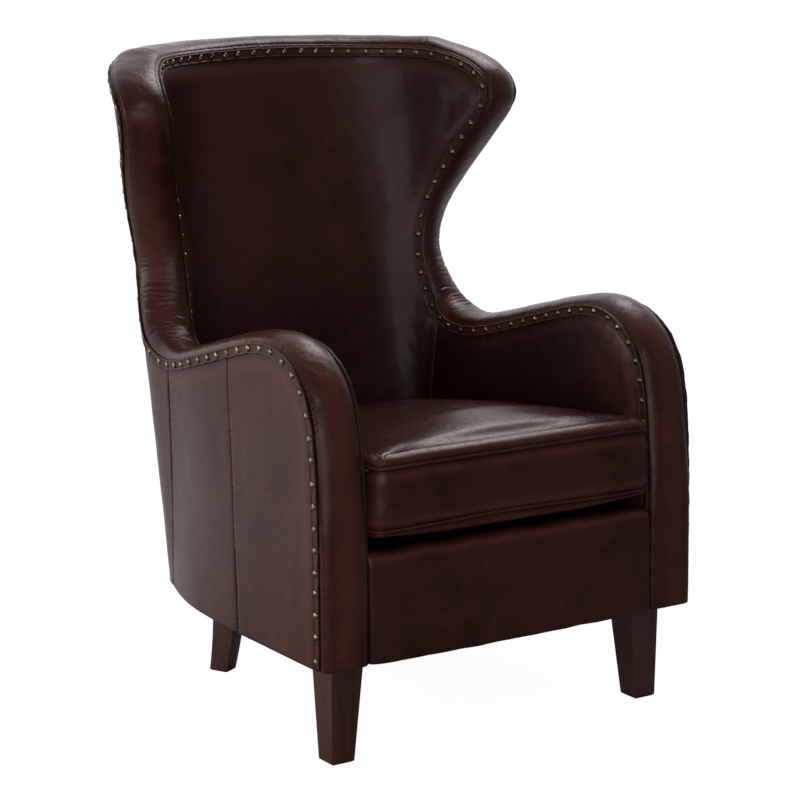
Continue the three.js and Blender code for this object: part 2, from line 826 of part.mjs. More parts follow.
function rearBlock() {
  const [from, to] = rearBlockShares;
  const rings = [railBottomHeight, railBottomHeight + blockHeight].map((height) => {
    const depth = (s) => rearBlockClearance + rearBlockEndDepth + rearBlockDepth * Math.sin(Math.PI * s);
    const outer = steps(blockSteps).map((s) => wall(mix(from, to, s), height, -rearBlockClearance));
    const inner = steps(blockSteps).map((s) => wall(mix(from, to, s), height, -depth(s)));
    return [...outer, ...inner.reverse()];
  });
  return loft(rings);
}

const boltPlaces = {
  front: [frontLegTopX + frontBoltShift[0], frontLegTopDepth + frontBoltShift[1]],
  rear: [rearLegTopX, rearLegTopDepth],
};

function legs() {
  const forms = {
    front: [loft(frontLegRings), frontBlock()],
    rear: [loft(rearLegRings), rearBlock()],
  };
  for (const [end, [leg, block]] of Object.entries(forms)) {
    const [x, y] = boltPlaces[end];
    const low = legTopHeight - boltInLeg;
    const [holeLow, holeHigh] = [low - boltClearance, boltTopHeight + boltClearance];
    const hole = rod(x, y, holeLow, holeHigh, boltRadius + boltClearance, boltSides);
    const bolt = rod(x, y, low, boltTopHeight, boltRadius, boltSides);
    const pieces = {
      leg: [cut(leg, hole), 'leg'],
      corner_block: [cut(block, hole), 'wood'],
      leg_bolt: [bolt, 'steel'],
    };
    for (const [name, [geometry, colour]] of Object.entries(pieces)) {
      add(`${name}_${end}_right`, geometry, colour);
      const other = geometry.index ? geometry.toNonIndexed() : geometry.clone();
      other.deleteAttribute('uv');
      const position = other.attributes.position;
      const points = Array.from({ length: position.count }, (_, i) => {
        const p = new THREE.Vector3().fromBufferAttribute(position, i);
        return p.setX(-p.x);
      });
      const faces = Array.from({ length: points.length / 3 }, (_, i) => [3 * i, 3 * i + 1, 3 * i + 2]);
      add(`${name}_${end}_left`, solid(points, faces), colour);
    }
  }
}

// Seat springs: waved wires over the front and the back rail
function springs() {
  const z = railTopHeight + gap + wireRadius;
  const offset = boardThickness / 2;
  for (let k = 0; k < springCount; k += 1) {
    const x = (k - (springCount - 1) / 2) * springSpacing;
    const past = (s) => (s < sideRailEndShare ? 1 : wall(s, railTopHeight, offset).x - Math.abs(x));
    const share = shareWhere(past);
    const start = frontRailDepth + frontRailThickness / 2;
    const end = wall(share, railTopHeight, offset).y;
    const waves = Math.round((end - start) / springPitch);
    const line = steps(waves * waveSteps).map((t) => new THREE.Vector3(
      x + springReach * Math.sin(2 * Math.PI * waves * t), mix(start, end, t), z,
    ));
    const rings = line.map((point, i) => {
      const next = line[Math.min(i + 1, line.length - 1)];
      const along = next.clone().sub(line[Math.max(i - 1, 0)]).normalize();
      const side = new THREE.Vector3(along.y, -along.x, 0);
      return Array.from({ length: wireSides }, (_, n) => {
        const turn = 2 * Math.PI * n / wireSides;
        return point.clone().addScaledVector(side, wireRadius * Math.cos(turn))
          .add(new THREE.Vector3(0, 0, wireRadius * Math.sin(turn)));
      });
    });
    add(`seat_spring_${k + 1}`, loft(rings), 'steel');
  }
}

// Webbing across the back posts
function straps() {
  const inner = steps(strapSteps).map((t) => mix(postEndShare, 2 - postEndShare, t));
  const line = [postShare, ...inner, 2 - postShare];
  strapShares.forEach((rise, k) => {
    const height = mix(lumbarRailHeight + lumbarRailWidth, strapTopHeight, rise);
    const grid = [height, height + strapWidth].map((z) => line.map((share) => [share, z]));
    const back = () => -gap;
    const front = () => -gap - strapThickness;
    add(`back_strap_${k + 1}`, slab(grid, front, back), 'webbing');
  });
}

// Outline of the seat in plan, anticlockwise from the middle of the front, with the normal at each point
function seatOutline(halfWidth, frontDepth, bow, backInset, height) {
  const half = [];
  const front = steps(seatFrontSteps).slice(0, -1).map((t) => {
    const x = (halfWidth - cushionCornerRadius) * t;
    return new THREE.Vector2(x, frontDepth - bow * (1 - t ** 2));
  });
  const centre = new THREE.Vector2(halfWidth - cushionCornerRadius, frontDepth + cushionCornerRadius);
  const bend = steps(seatCornerSteps).map((t) => {
    const turn = Math.PI / 2 * (t - 1);
    return new THREE.Vector2(Math.cos(turn), Math.sin(turn)).multiplyScalar(cushionCornerRadius).add(centre);
  });
  half.push(...front, ...bend);
  const backStart = shareAtDepth(frontDepth + 3 * cushionCornerRadius, height);
  steps(seatSideSteps).forEach((t) => {
    const share = mix(backStart, 1, t);
    const p = wall(share, height, -halfWall(height) - backInset);
    half.push(new THREE.Vector2(Math.min(p.x, halfWidth - sideDraw * Math.sin(Math.PI * t)), p.y));
  });
  const others = half.slice(1, -1).reverse().map((p) => new THREE.Vector2(-p.x, p.y));
  const points = [...half, ...others];
  return points.map((point, i) => {
    const before = points[(i + points.length - 1) % points.length];
    const after = points[(i + 1) % points.length];
    const along = after.clone().sub(before).normalize();
    return { point, normal: new THREE.Vector2(along.y, -along.x) };
  });
}

// Ring of a pillow: the outline drawn in by a distance, then shrunk towards the middle by a share
function pillowRing(outline, share, drawn, height) {
  const depths = outline.map(({ point }) => point.y);
  const middleDepth = (Math.min(...depths) + Math.max(...depths)) / 2;
  return outline.map(({ point, normal }) => {
    const p = point.clone().addScaledVector(normal, -drawn);
    return new THREE.Vector3(p.x * share, mix(middleDepth, p.y, share), height);
  });
}

// Triangles of a pillow's skin: fans at both poles and quads between rings, without the cells left open
function pillowSkin(rings, start, open = () => false) {
  const count = rings[0].length;
  const points = [...rings.flat()];
  const triangles = [];
  for (let j = 0; j + 1 < rings.length; j += 1) {
    for (let i = 0; i < count; i += 1) {
      if (open(i, j)) continue;
      const k = (i + 1) % count;
      const [a, b, c, d] = [j * count + i, j * count + k, (j + 1) * count + k, (j + 1) * count + i];
      triangles.push([a, b, c], [a, c, d]);
    }
  }
  [[0, true], [rings.length - 1, false]].forEach(([j, flip]) => {
    const pole = points.length;
    const centre = rings[j].reduce((sum, p) => sum.add(p), new THREE.Vector3()).divideScalar(count);
    points.push(centre.setX(0));
    for (let i = 0; i < count; i += 1) {
      const k = (i + 1) % count;
      const pair = [j * count + i, j * count + k];
      triangles.push(flip ? [pole, pair[1], pair[0]] : [pole, pair[0], pair[1]]);
    }
  });
  return { points, triangles: triangles.map((corners) => corners.map((n) => n + start)) };
}

// The cushion's outline fits where its underside is lowest, at the back
const cushionOutline = seatOutline(
  cushionHalfWidth, cushionFrontDepth, cushionBow, armSwell + weltRadius + cushionClearance,
  lowerWeltHeight - undersideDrop,
);
const cushionBackDepth = Math.max(...cushionOutline.map(({ point }) => point.y));

// Share of the seat's drop at a depth
function rakeAt(depth) {
  const run = (depth - cushionFrontDepth) / (cushionBackDepth - cushionFrontDepth);
  return THREE.MathUtils.clamp(run, 0, 1) ** rakePower;
}

// Point of the cushion, lowered with the rake: the boxing grows lower towards the back
function raked(point) {
  const rise = THREE.MathUtils.clamp((point.z - lowerWeltHeight) / boxingHeight, 0, 1);
  return point.clone().setZ(point.z - rakeAt(point.y) * mix(undersideDrop, topDrop, rise));
}
const rakedRings = (rings) => rings.map((ring) => ring.map(raked));

// Share of a crown's height at a share of the way out from the middle
const crownAt = (share) => 1 - share ** crownPower;
const zipLow = (lowerWeltHeight + upperWeltHeight) / 2 - zipHalfHeight;
const zipHigh = (lowerWeltHeight + upperWeltHeight) / 2 + zipHalfHeight;

// Rings of the cushion's outside, from the middle of the underside to the middle of the top
function cushionRings(outline) {
  const lower = lowerWeltHeight - weltRadius - weltMargin;
  const upper = upperWeltHeight + weltRadius + weltMargin;
  const ring = (share, drawn, height) => pillowRing(outline, share, drawn, height);
  const under = crownShares.map((s) => ring(s, weltLip, lower - underCrown * crownAt(s)));
  const over = crownShares.map((s) => ring(s, weltLip, upper + topCrown * crownAt(s))).reverse();
  const boxing = [
    lowerWeltHeight + weltRadius + weltMargin, zipLow, zipHigh, upperWeltHeight - weltRadius - weltMargin,
  ];
  return [
    ...under, ring(1, weltLip, lower), ring(1, weltGroove, lowerWeltHeight),
    ...boxing.map((height) => ring(1, 0, height)),
    ring(1, weltGroove, upperWeltHeight), ring(1, weltLip, upper), ...over,
  ];
}

// Rings of the hollow in the cover, or of the core that fills it, a distance in from the outside
function hollowRings(outline, depth) {
  const lower = lowerWeltHeight - weltRadius - weltMargin + depth;
  const upper = upperWeltHeight + weltRadius + weltMargin - depth;
  const ring = (share, drawn, height) => pillowRing(outline, share, drawn, height);
  const drawn = seamAllowance + depth;
  const under = crownShares.map((s) => ring(s, drawn, lower - underCrown * crownAt(s)));
  const over = crownShares.map((s) => ring(s, drawn, upper + topCrown * crownAt(s))).reverse();
  const low = lowerWeltHeight + weltRadius + weltMargin + depth;
  const high = upperWeltHeight - weltRadius - weltMargin - depth;
  return [
    ...under, ring(1, drawn, lower), ring(1, drawn, lowerWeltHeight + depth / 2),
    ...[low, zipLow, zipHigh, high].map((height) => ring(1, depth, height)),
    ring(1, drawn, upperWeltHeight - depth / 2), ring(1, drawn, upper), ...over,
  ];
}

function cushion() {
  const outline = cushionOutline;
  const count = outline.length;
  const backPlace = count / 2;
  const zipRow = crownShares.length + 3;
  const zipCells = [-2, -1, 0, 1].map((k) => backPlace + k);
  const open = (i, j) => j === zipRow && zipCells.includes(i);

  const outside = pillowSkin(rakedRings(cushionRings(outline)), 0, open);
  const inside = pillowSkin(rakedRings(hollowRings(outline, coverLining)), outside.points.length, open);
  const shift = outside.points.length;
  const rim = [];
  const place = (i, j) => j * count + i;
  zipCells.forEach((i) => {
    for (const [j, flip] of [[zipRow, true], [zipRow + 1, false]]) {
      const [a, b] = flip ? [place(i, j), place(i + 1, j)] : [place(i + 1, j), place(i, j)];
      rim.push([a, b, b + shift], [a, b + shift, a + shift]);
    }
  });
  for (const [i, flip] of [[zipCells[0], true], [zipCells[3] + 1, false]]) {
    const ends = [place(i, zipRow + 1), place(i, zipRow)];
    const [a, b] = flip ? ends : ends.reverse();
    rim.push([a, b, b + shift], [a, b + shift, a + shift]);
  }
  const inner = inside.triangles.map(([a, b, c]) => [a, c, b]);
  const points = [...outside.points, ...inside.points];
  add('cushion_cover', solid(points, [...outside.triangles, ...inner, ...rim]), 'leather');

  const core = pillowSkin(rakedRings(hollowRings(outline, coverLining + gap)), 0);
  add('cushion_core', solid(core.points, core.triangles), 'foam');

  const zip = zipCells.concat(zipCells[3] + 1).map((i, n, list) => {
    const { point, normal } = outline[i];
    const ends = n === 0 ? 1 : n === list.length - 1 ? -1 : 0;
    const along = new THREE.Vector2(-normal.y, normal.x).multiplyScalar(ends * gap);
    const at = (drawn, z) => new THREE.Vector3(
      point.x + along.x - normal.x * drawn, point.y + along.y - normal.y * drawn, z,
    );
    const depth = coverLining - gap;
    return [at(gap, zipLow + gap), at(depth, zipLow + gap), at(depth, zipHigh - gap), at(gap, zipHigh - gap)];
  });
  add('cushion_zip', loft(rakedRings(zip)), 'steel');

  for (const [name, height] of [['lower', lowerWeltHeight], ['upper', upperWeltHeight]]) {
    const rings = outline.map(({ point, normal }) => Array.from({ length: weltSides }, (_, n) => {
      const turn = 2 * Math.PI * n / weltSides;
      const reach = weltRadius * Math.cos(turn) - weltLip;
      return new THREE.Vector3(
        point.x + normal.x * reach, point.y + normal.y * reach, height + weltRadius * Math.sin(turn),
      );
    }));
    add(`cushion_welt_${name}`, loft(rakedRings(rings), { closed: true }), 'leather');
  }
}

// Padded deck under the cushion, high enough in its middle to carry the cushion and raked with it
function deck() {
  const bottom = railTopHeight + 2 * wireRadius + 2 * gap;
  const frontDepth = edgeFrontDepth + deckClearance;
  const halfWidth = wallHalfWidth - halfWall(bottom) - deckClearance;
  const outline = seatOutline(halfWidth, frontDepth, 0, deckClearance, bottom);
  const edgeTop = bottom + deckEdgeThickness;
  const room = lowerWeltHeight - weltRadius - weltMargin - gap - edgeTop;
  const crown = room / crownAt(crownShares[0]) - underCrown;
  const over = [...crownShares].reverse().map((s) => pillowRing(outline, s, 0, edgeTop + crown * crownAt(s)));
  const height = edgeTop + crown * crownAt(crownShares[0]) - bottom;
  const lowered = (p) => p.setZ(bottom + (p.z - bottom) * (1 - rakeAt(p.y) * undersideDrop / height));
  const skin = pillowSkin([
    pillowRing(outline, deckInnerShare, 0, bottom), pillowRing(outline, 1, 0, bottom),
    ...[pillowRing(outline, 1, 0, edgeTop), ...over].map((ring) => ring.map(lowered)),
  ], 0);
  add('seat_deck', solid(skin.points, skin.triangles), 'cloth');
}

// Panel over the front rail, with a rounded upper edge, between the rolls
function frontPanel() {
  const width = 2 * (wallHalfWidth - halfWall(bodyHeight) - gap);
  const back = edgeFrontDepth;
  const r = panelEdgeRadius;
  const shape = new THREE.Shape();
  shape.moveTo(back, bodyHeight);
  shape.lineTo(back, panelTopHeight);
  shape.lineTo(panelFrontDepth + r, panelTopHeight);
  shape.absarc(panelFrontDepth + r, panelTopHeight - r, r, Math.PI / 2, Math.PI, false);
  shape.lineTo(panelFrontDepth, bodyHeight);
  shape.closePath();
  const geometry = new THREE.ExtrudeGeometry(
    shape, { depth: width, bevelEnabled: false, curveSegments: panelEdgeSteps },
  );
  geometry.applyMatrix4(new THREE.Matrix4().makeBasis(
    new THREE.Vector3(0, 1, 0), new THREE.Vector3(0, 0, 1), new THREE.Vector3(1, 0, 0),
  ));
  geometry.translate(-width / 2, 0, 0);
  add('front_panel', geometry, 'leather');
}

// Cloth under the seat, stapled to the undersides of the rails, with a hole for each leg bolt
function dustCover() {
  const line = steps(dustCoverSteps).map((t) => wall(t, railBottomHeight, dustCoverInset));
  const front = edgeFrontDepth + boardInset;
  const side = line.filter((p) => p.y > front).map((p) => new THREE.Vector2(p.x, p.y));
  const right = [new THREE.Vector2(line[0].x, front), ...side];
  const left = right.slice(0, -1).reverse().map((p) => new THREE.Vector2(-p.x, p.y));
  const shape = new THREE.Shape([...right, ...left]);
  for (const [x, y] of Object.values(boltPlaces)) {
    for (const turn of [1, -1]) {
      const hole = new THREE.Path();
      hole.absarc(turn * x, y, boltRadius + 2 * boltClearance, 0, 2 * Math.PI, false);
      shape.holes.push(hole);
    }
  }
  const geometry = new THREE.ExtrudeGeometry(
    shape, { depth: dustCoverThickness, bevelEnabled: false, curveSegments: holeSteps },
  );
  geometry.translate(0, 0, railBottomHeight - gap - dustCoverThickness);
  add('dust_cover', geometry, 'cloth');
}

frame();
legs();
springs();
straps();
insideBack();
insideArms();
outsidePanels();
rolls();
bands();
deck();
cushion();
frontPanel();
dustCover();

// The origin is the middle of the chair's outer box, on the floor
const box = new THREE.Box3().setFromObject(chair);
chair.position.y = -(box.min.y + box.max.y) / 2;

export default chair;
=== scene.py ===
import math

import bpy
import numpy as np
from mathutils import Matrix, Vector
from mathutils.kdtree import KDTree


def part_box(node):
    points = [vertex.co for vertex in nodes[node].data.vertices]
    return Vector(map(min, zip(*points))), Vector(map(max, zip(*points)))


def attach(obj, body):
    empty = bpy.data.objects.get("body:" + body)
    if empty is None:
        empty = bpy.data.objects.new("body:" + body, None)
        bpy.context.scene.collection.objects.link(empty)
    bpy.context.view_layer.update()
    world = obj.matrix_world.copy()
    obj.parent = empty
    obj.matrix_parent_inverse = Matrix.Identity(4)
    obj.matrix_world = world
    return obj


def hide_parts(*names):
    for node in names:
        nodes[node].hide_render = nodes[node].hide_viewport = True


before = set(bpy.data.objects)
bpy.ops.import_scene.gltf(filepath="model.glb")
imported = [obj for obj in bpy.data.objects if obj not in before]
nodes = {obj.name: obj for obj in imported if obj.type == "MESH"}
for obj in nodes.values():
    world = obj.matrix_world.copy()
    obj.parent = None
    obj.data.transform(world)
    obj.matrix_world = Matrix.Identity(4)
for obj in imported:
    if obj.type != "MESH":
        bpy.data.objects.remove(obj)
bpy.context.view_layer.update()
rng = np.random.default_rng(7)

# The chair's wall, as in the CAD model
GAP = 0.3
BODY_HEIGHT = 159.0
SEAT_LINE_HEIGHT = 305.0
RAIL_TOP_HEIGHT = 300.0
ARM_HEIGHT = 617.0
WAIST_HEIGHT = 535.0
TOP_CORNER_HEIGHT = 999.0
TOP_MIDDLE_HEIGHT = 1004.0
WALL_HALF_WIDTH = 304.0
WALL_FRONT_DEPTH = -300.0
SIDE_MIDDLE_DEPTH = -120.0
SIDE_END_WIDTHS = (306.0, 304.0, 329.0)
SIDE_END_DEPTHS = (101.0, 84.0, 74.0)
CORNER_WIDTHS = (252.0, 289.0, 420.0)
CORNER_DEPTHS = (232.0, 173.0, 74.0)
BACK_WIDTHS = (240.0, 274.0, 275.0)
BACK_DEPTHS = (304.0, 394.0, 458.0)
BASE_THICKNESS = 80.0
TOP_THICKNESS = 76.0
EDGE_FRONT_DEPTH = -282.0
WAIST_DEPTH = 204.0
NOTCH_DEPTH = 330.0
TOP_CORNER_WIDTH = 276.0
ARM_EDGE = (
    (-0.0165, 0), (-0.0125, 0.36), (-0.003, 0.57), (0.023, 0.797), (0.089, 0.915),
    (0.18, 0.978), (0.31, 1), (0.52, 0.945), (0.76, 0.874), (0.97, 0.822),
)
WING_EDGE = (
    (0.47, 0.036), (0.74, 0.11), (0.93, 0.215), (1, 0.335), (0.93, 0.455), (0.74, 0.57),
    (0.47, 0.69), (0.22, 0.8), (0.19, 0.87), (0.38, 0.93), (0.7, 0.97), (1, 0.99),
)
TOP_EDGE = (1, 0.77, 0.4, 0)
TRIM_FOOT, SHOULDER, MIDDLE_SEAM, OUTER_SEAM, INNER_SEAM, CORNER, MIDDLE = 1, 2, 7, 9, 10, 22, 25
MIDDLE_SEAM_FOOT = -57.0
OUTER_SEAM_FOOT = 222.0
INNER_SEAM_FOOT = 262.0
# Rolls: rise over the edge and power of the section by station; a lower power is squarer
ROLL_RISES = ((0, 20.0), (1.2, 20.0), (3, 17.0), (4.2, 17.5), (5.6, 22.0), (7.5, 26.0), (10, 26.0), (13, 24.0), (17.6, 18.0),
              (19, 19.0), (22, 25.0))
ROLL_POWERS = ((0, 0.46), (0.9, 0.50), (2.2, 0.84), (3.2, 0.98), (6, 0.95), (9, 0.84), (16, 0.84), (18, 0.95), (21, 0.84))
ROLL_PUFFS = ((0, 1.2), (1.2, 1.2), (2.6, -0.6), (6, 0.0), (9, 1.6))
ROLL_SEAM_SHIFT = 11.0
ROLL_SEAM_BULGE = 6.0
ARM_SWELL = 5.0
BACK_SWELL = 16.0

# The seat and the legs, as in the CAD model
CUSHION_HALF_WIDTH = 256.0
CUSHION_FRONT = -310.0
CUSHION_BOW = 2.0
CUSHION_CORNER = 22.0
CUSHION_INSET = 9.5
LOWER_WELT = 357.0
UPPER_WELT = 454.0
PANEL_FRONT = -307.0
PANEL_TOP = 326.0
DUST_INSET = 16.0
DUST_HEIGHT = 160.2
LEG_TOP = 159.9

# Place of the CAD model's origin along Y
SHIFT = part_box("front_rail")[0].y * 1000 - (EDGE_FRONT_DEPTH + GAP)

# Leather detail
BAND_WIDTH = 16.0
PIPING = 1.5
NAIL_PITCH = 33.0
NAIL_RADIUS = 5.3
NAIL_HEIGHT = 3.4
UNDERSIDE_DROP = 26.0
TOP_DROP = 60.0
RAKE_POWER = 1.6
UNDERSIDE = 341.1
CORNER_DROOP = 1.5
SEAM_ARCH = 4.5
CUSHION_SPLAY = 0.009


def mix(a, b, t):
    return a + (b - a) * t


def smooth(x, low, high):
    """0 below low, 1 above high, smooth between."""
    t = np.clip((np.asarray(x, float) - low) / (high - low), 0, 1)
    return t * t * (3 - 2 * t)


def unit(v):
    return v / np.linalg.norm(v, axis=-1, keepdims=True)


# Waves that look irregular: a sum of sines in seeded directions
def ripple(points, length, seed, count=7):
    draw = np.random.default_rng(seed)
    total = np.zeros(points.shape[:-1])
    for _ in range(count):
        direction = unit(draw.normal(size=points.shape[-1]))
        size = length * draw.uniform(0.6, 1.6)
        total += np.sin(points @ direction * (2 * math.pi / size) + draw.uniform(0, 2 * math.pi))
    return total / math.sqrt(count)


# Plan of the wall
KNOTS = np.array([0, 0, 0, 0, 1 / 3, 2 / 3, 1, 1, 1, 1])


def at_height(values, z):
    base, half, top = values
    t = (z - BODY_HEIGHT) / (TOP_MIDDLE_HEIGHT - BODY_HEIGHT)
    return base * (1 - t) * (1 - 2 * t) + half * 4 * t * (1 - t) + top * t * (2 * t - 1)


def plan(share, z):
    share, z = np.broadcast_arrays(np.asarray(share, float), np.asarray(z, float))
    s = np.clip(share, 0, 1 - 1e-9)
    n = [((KNOTS[i] <= s) & (s < KNOTS[i + 1])).astype(float) for i in range(9)]
    for d in range(1, 4):
        m = []
        for i in range(9 - d):
            a, b = KNOTS[i + d] - KNOTS[i], KNOTS[i + d + 1] - KNOTS[i + 1]
            left = n[i] * (s - KNOTS[i]) / a if a > 0 else 0 * s
            right = n[i + 1] * (KNOTS[i + d + 1] - s) / b if b > 0 else 0 * s
            m.append(left + right)
        n = m
    xs = [WALL_HALF_WIDTH, WALL_HALF_WIDTH, at_height(SIDE_END_WIDTHS, z),
          at_height(CORNER_WIDTHS, z), at_height(BACK_WIDTHS, z), 0]
    ys = [WALL_FRONT_DEPTH, SIDE_MIDDLE_DEPTH, at_height(SIDE_END_DEPTHS, z),
          at_height(CORNER_DEPTHS, z), at_height(BACK_DEPTHS, z), at_height(BACK_DEPTHS, z)]
    x = sum(w * c for w, c in zip(n, xs))
    y = sum(w * c for w, c in zip(n, ys))
    return np.stack([x, y], -1)


def plan_slope(share, z):
    step = 1e-4
    high, low = np.minimum(1, share + step), np.maximum(0, share - step)
    return (plan(high, z) - plan(low, z)) / (high - low)[..., None]


def plan_lean(share, z):
    step = 0.1
    return (plan(share, z + step) - plan(share, z - step)) / (2 * step)


def wall_normal(share, z):
    """Horizontal normal of the wall, outwards. Shares over 1 are on the left half."""
    folded = np.where(share > 1, 2 - share, share)
    along = unit(plan_slope(folded, z))
    sign = np.where(share > 1, -1.0, 1.0)
    return np.stack([sign * along[..., 1], -along[..., 0], np.zeros_like(folded)], -1)


def wall(share, z, offset=0.0):
    share, z = np.broadcast_arrays(np.asarray(share, float), np.asarray(z, float))
    folded = np.where(share > 1, 2 - share, share)
    point = plan(folded, z)
    sign = np.where(share > 1, -1.0, 1.0)
    base = np.stack([sign * point[..., 0], point[..., 1], z], -1)
    return base + wall_normal(share, z) * np.asarray(offset, float)[..., None]


def half_wall(z):
    t = (z - BODY_HEIGHT) / (TOP_MIDDLE_HEIGHT - BODY_HEIGHT)
    return mix(BASE_THICKNESS, TOP_THICKNESS, t) / 2


def share_where(value, count=1):
    low, high = np.zeros(count), np.ones(count)
    for _ in range(40):
        half = (low + high) / 2
        positive = value(half) > 0
        low, high = np.where(positive, half, low), np.where(positive, high, half)
    return (low + high) / 2


def share_at_depth(depth, z):
    depth, z = np.broadcast_arrays(np.atleast_1d(np.asarray(depth, float)), np.atleast_1d(np.asarray(z, float)))
    return share_where(lambda s: depth - plan(s, z)[..., 1], depth.shape)


def share_at_width(width, z):
    widest = share_at_depth(WAIST_DEPTH, z)[0]
    return share_where(lambda s: np.where(s < widest, 1.0, plan(s, z)[..., 0] - width))


# Edge of the wall: a smooth line through the tables' points
def edge_table():
    points = []
    for run, rise in ARM_EDGE:
        z = mix(BODY_HEIGHT, ARM_HEIGHT, rise)
        points.append(wall(share_at_depth(mix(EDGE_FRONT_DEPTH, WAIST_DEPTH, run), z), z)[0])
    for run, rise in WING_EDGE:
        z = mix(WAIST_HEIGHT, TOP_CORNER_HEIGHT, rise)
        points.append(wall(share_at_depth(mix(WAIST_DEPTH, NOTCH_DEPTH, run), z), z)[0])
    for share in TOP_EDGE:
        z = mix(TOP_MIDDLE_HEIGHT, TOP_CORNER_HEIGHT, share)
        points.append(wall(share_at_width(TOP_CORNER_WIDTH * share, z), z)[0])
    return np.array(points)


FLIP = np.array([-1.0, 1.0, 1.0])
TABLE = edge_table()
MORE = np.concatenate([TABLE, TABLE[-2::-1] * FLIP])
CONTROLS = MORE.copy()
CONTROLS[1:-1] += (2 * MORE[1:-1] - MORE[:-2] - MORE[2:]) / 6
CONTROLS = np.concatenate([[2 * MORE[0] - CONTROLS[1]], CONTROLS])


def edge_point(station):
    station = np.asarray(station, float)
    i = np.clip(np.floor(station).astype(int), 0, 2 * MIDDLE - 1)
    t = (station - i)[..., None]
    weights = [(1 - t) ** 3 / 6, (3 * t ** 3 - 6 * t ** 2 + 4) / 6,
               (-3 * t ** 3 + 3 * t ** 2 + 3 * t + 1) / 6, t ** 3 / 6]
    return sum(w * CONTROLS[np.minimum(i + k, len(CONTROLS) - 1)] for k, w in enumerate(weights))


def nearest_share(points):
    shares = np.linspace(0, 1, 301)
    best = np.empty(len(points))
    for k, point in enumerate(points):
        miss = np.hypot(*(plan(shares, point[2]) - point[:2]).T)
        best[k] = shares[np.argmin(miss)]
    low, high = np.maximum(0, best - 0.004), np.minimum(1, best + 0.004)
    for _ in range(30):
        a, b = mix(low, high, 0.4), mix(low, high, 0.6)
        nearer = (np.linalg.norm(plan(a, points[:, 2]) - points[:, :2], axis=1)
                  < np.linalg.norm(plan(b, points[:, 2]) - points[:, :2], axis=1))
        low, high = np.where(nearer, low, a), np.where(nearer, b, high)
    return (low + high) / 2


class Edge:
    """Places on the right half's edge: share, height and the frame of a section across it."""

    def __init__(self, station):
        self.station = np.asarray(station, float)
        raw = edge_point(self.station)
        self.share = np.where(self.station >= MIDDLE, 1.0, nearest_share(raw))
        self.height = raw[:, 2]
        self.origin = wall(self.share, self.height)
        step = 0.01
        ahead = edge_point(self.station + step)
        self.along = unit(ahead - edge_point(np.maximum(0, self.station - step)))
        self.normal = wall_normal(self.share, self.height)
        self.outward = unit(np.cross(self.normal, self.along))
        lean = plan_lean(self.share, self.height)
        tilt = self.outward[:, 2] * (lean * self.normal[:, :2]).sum(1)
        self.outward = self.outward + self.normal * tilt[:, None]


FINE = np.linspace(0, 2 * MIDDLE, 4001)
FINE_POINTS = edge_point(FINE)
FINE_LENGTHS = np.concatenate([[0], np.cumsum(np.linalg.norm(np.diff(FINE_POINTS, axis=0), axis=1))])


def length_at(station):
    return np.interp(station, FINE, FINE_LENGTHS)


def station_at(length):
    return np.interp(length, FINE_LENGTHS, FINE)


def spaced(low, high, pitch):
    """Stations between two of them, evenly spaced along the edge."""
    a, b = length_at(low), length_at(high)
    return station_at(np.linspace(a, b, max(2, int(round((b - a) / pitch)) + 1)))


EDGE_TREE = KDTree(len(FINE_POINTS))
for index, place in enumerate(FINE_POINTS):
    EDGE_TREE.insert(place, index)
EDGE_TREE.balance()


def to_edge(points):
    """Distance of each point from the edge line, and the length along the edge there."""
    flat = points.reshape(-1, 3)
    found = [EDGE_TREE.find(p) for p in flat]
    distance = np.array([f[2] for f in found]).reshape(points.shape[:-1])
    run = FINE_LENGTHS[[f[1] for f in found]].reshape(points.shape[:-1])
    return distance, run


def to_line(points, line):
    """Distance of each point from a line of points."""
    tree = KDTree(len(line))
    for k, p in enumerate(line):
        tree.insert(p, k)
    tree.balance()
    return np.array([tree.find(p)[2] for p in points.reshape(-1, 3)]).reshape(points.shape[:-1])


# Meshes
def mesh_object(name, points, faces, attributes=None, shade=True):
    """Mesh in metres from points in millimetres of the shape functions' frame."""
    place = (np.asarray(points, float).reshape(-1, 3) + (0, SHIFT, 0)) * 0.001
    mesh = bpy.data.meshes.new(name)
    mesh.from_pydata(place.tolist(), [], [list(map(int, f)) for f in faces])
    for key, values in (attributes or {}).items():
        layer = mesh.attributes.new(key, "FLOAT", "POINT")
        layer.data.foreach_set("value", np.asarray(values, np.float32).ravel())
    mesh.validate()
    mesh.update()
    if shade:
        mesh.shade_smooth()
    piece = bpy.data.objects.new(name, mesh)
    bpy.context.scene.collection.objects.link(piece)
    return piece


def quads(rows, columns, start=0, around=False, flip=False):
    faces = []
    for j in range(rows - 1):
        for i in range(columns if around else columns - 1):
            k = (i + 1) % columns
            quad = [start + j * columns + i, start + j * columns + k,
                    start + (j + 1) * columns + k, start + (j + 1) * columns + i]
            faces.append(quad[::-1] if flip else quad)
    return faces


def turn_out(piece):
    """Turns the faces of a closed piece outwards."""
    import bmesh
    bm = bmesh.new()
    bm.from_mesh(piece.data)
    bmesh.ops.recalc_face_normals(bm, faces=bm.faces)
    bm.to_mesh(piece.data)
    bm.free()
    return piece


def slab(name, front, back, attributes=None):
    """Closed piece between two grids of points, joined around their border."""
    rows, columns = front.shape[:2]
    count = rows * columns
    faces = quads(rows, columns) + quads(rows, columns, count, flip=True)
    border = ([j * columns for j in range(rows)]
              + [(rows - 1) * columns + i for i in range(1, columns)]
              + [j * columns + columns - 1 for j in range(rows - 2, -1, -1)]
              + [i for i in range(columns - 2, 0, -1)])
    for a, b in zip(border, border[1:] + border[:1]):
        faces.append([a, b, b + count, a + count])
    both = {k: np.concatenate([np.ravel(v), np.zeros(count)]) for k, v in (attributes or {}).items()}
    points = np.concatenate([front.reshape(-1, 3), back.reshape(-1, 3)])
    return turn_out(mesh_object(name, points, faces, both))


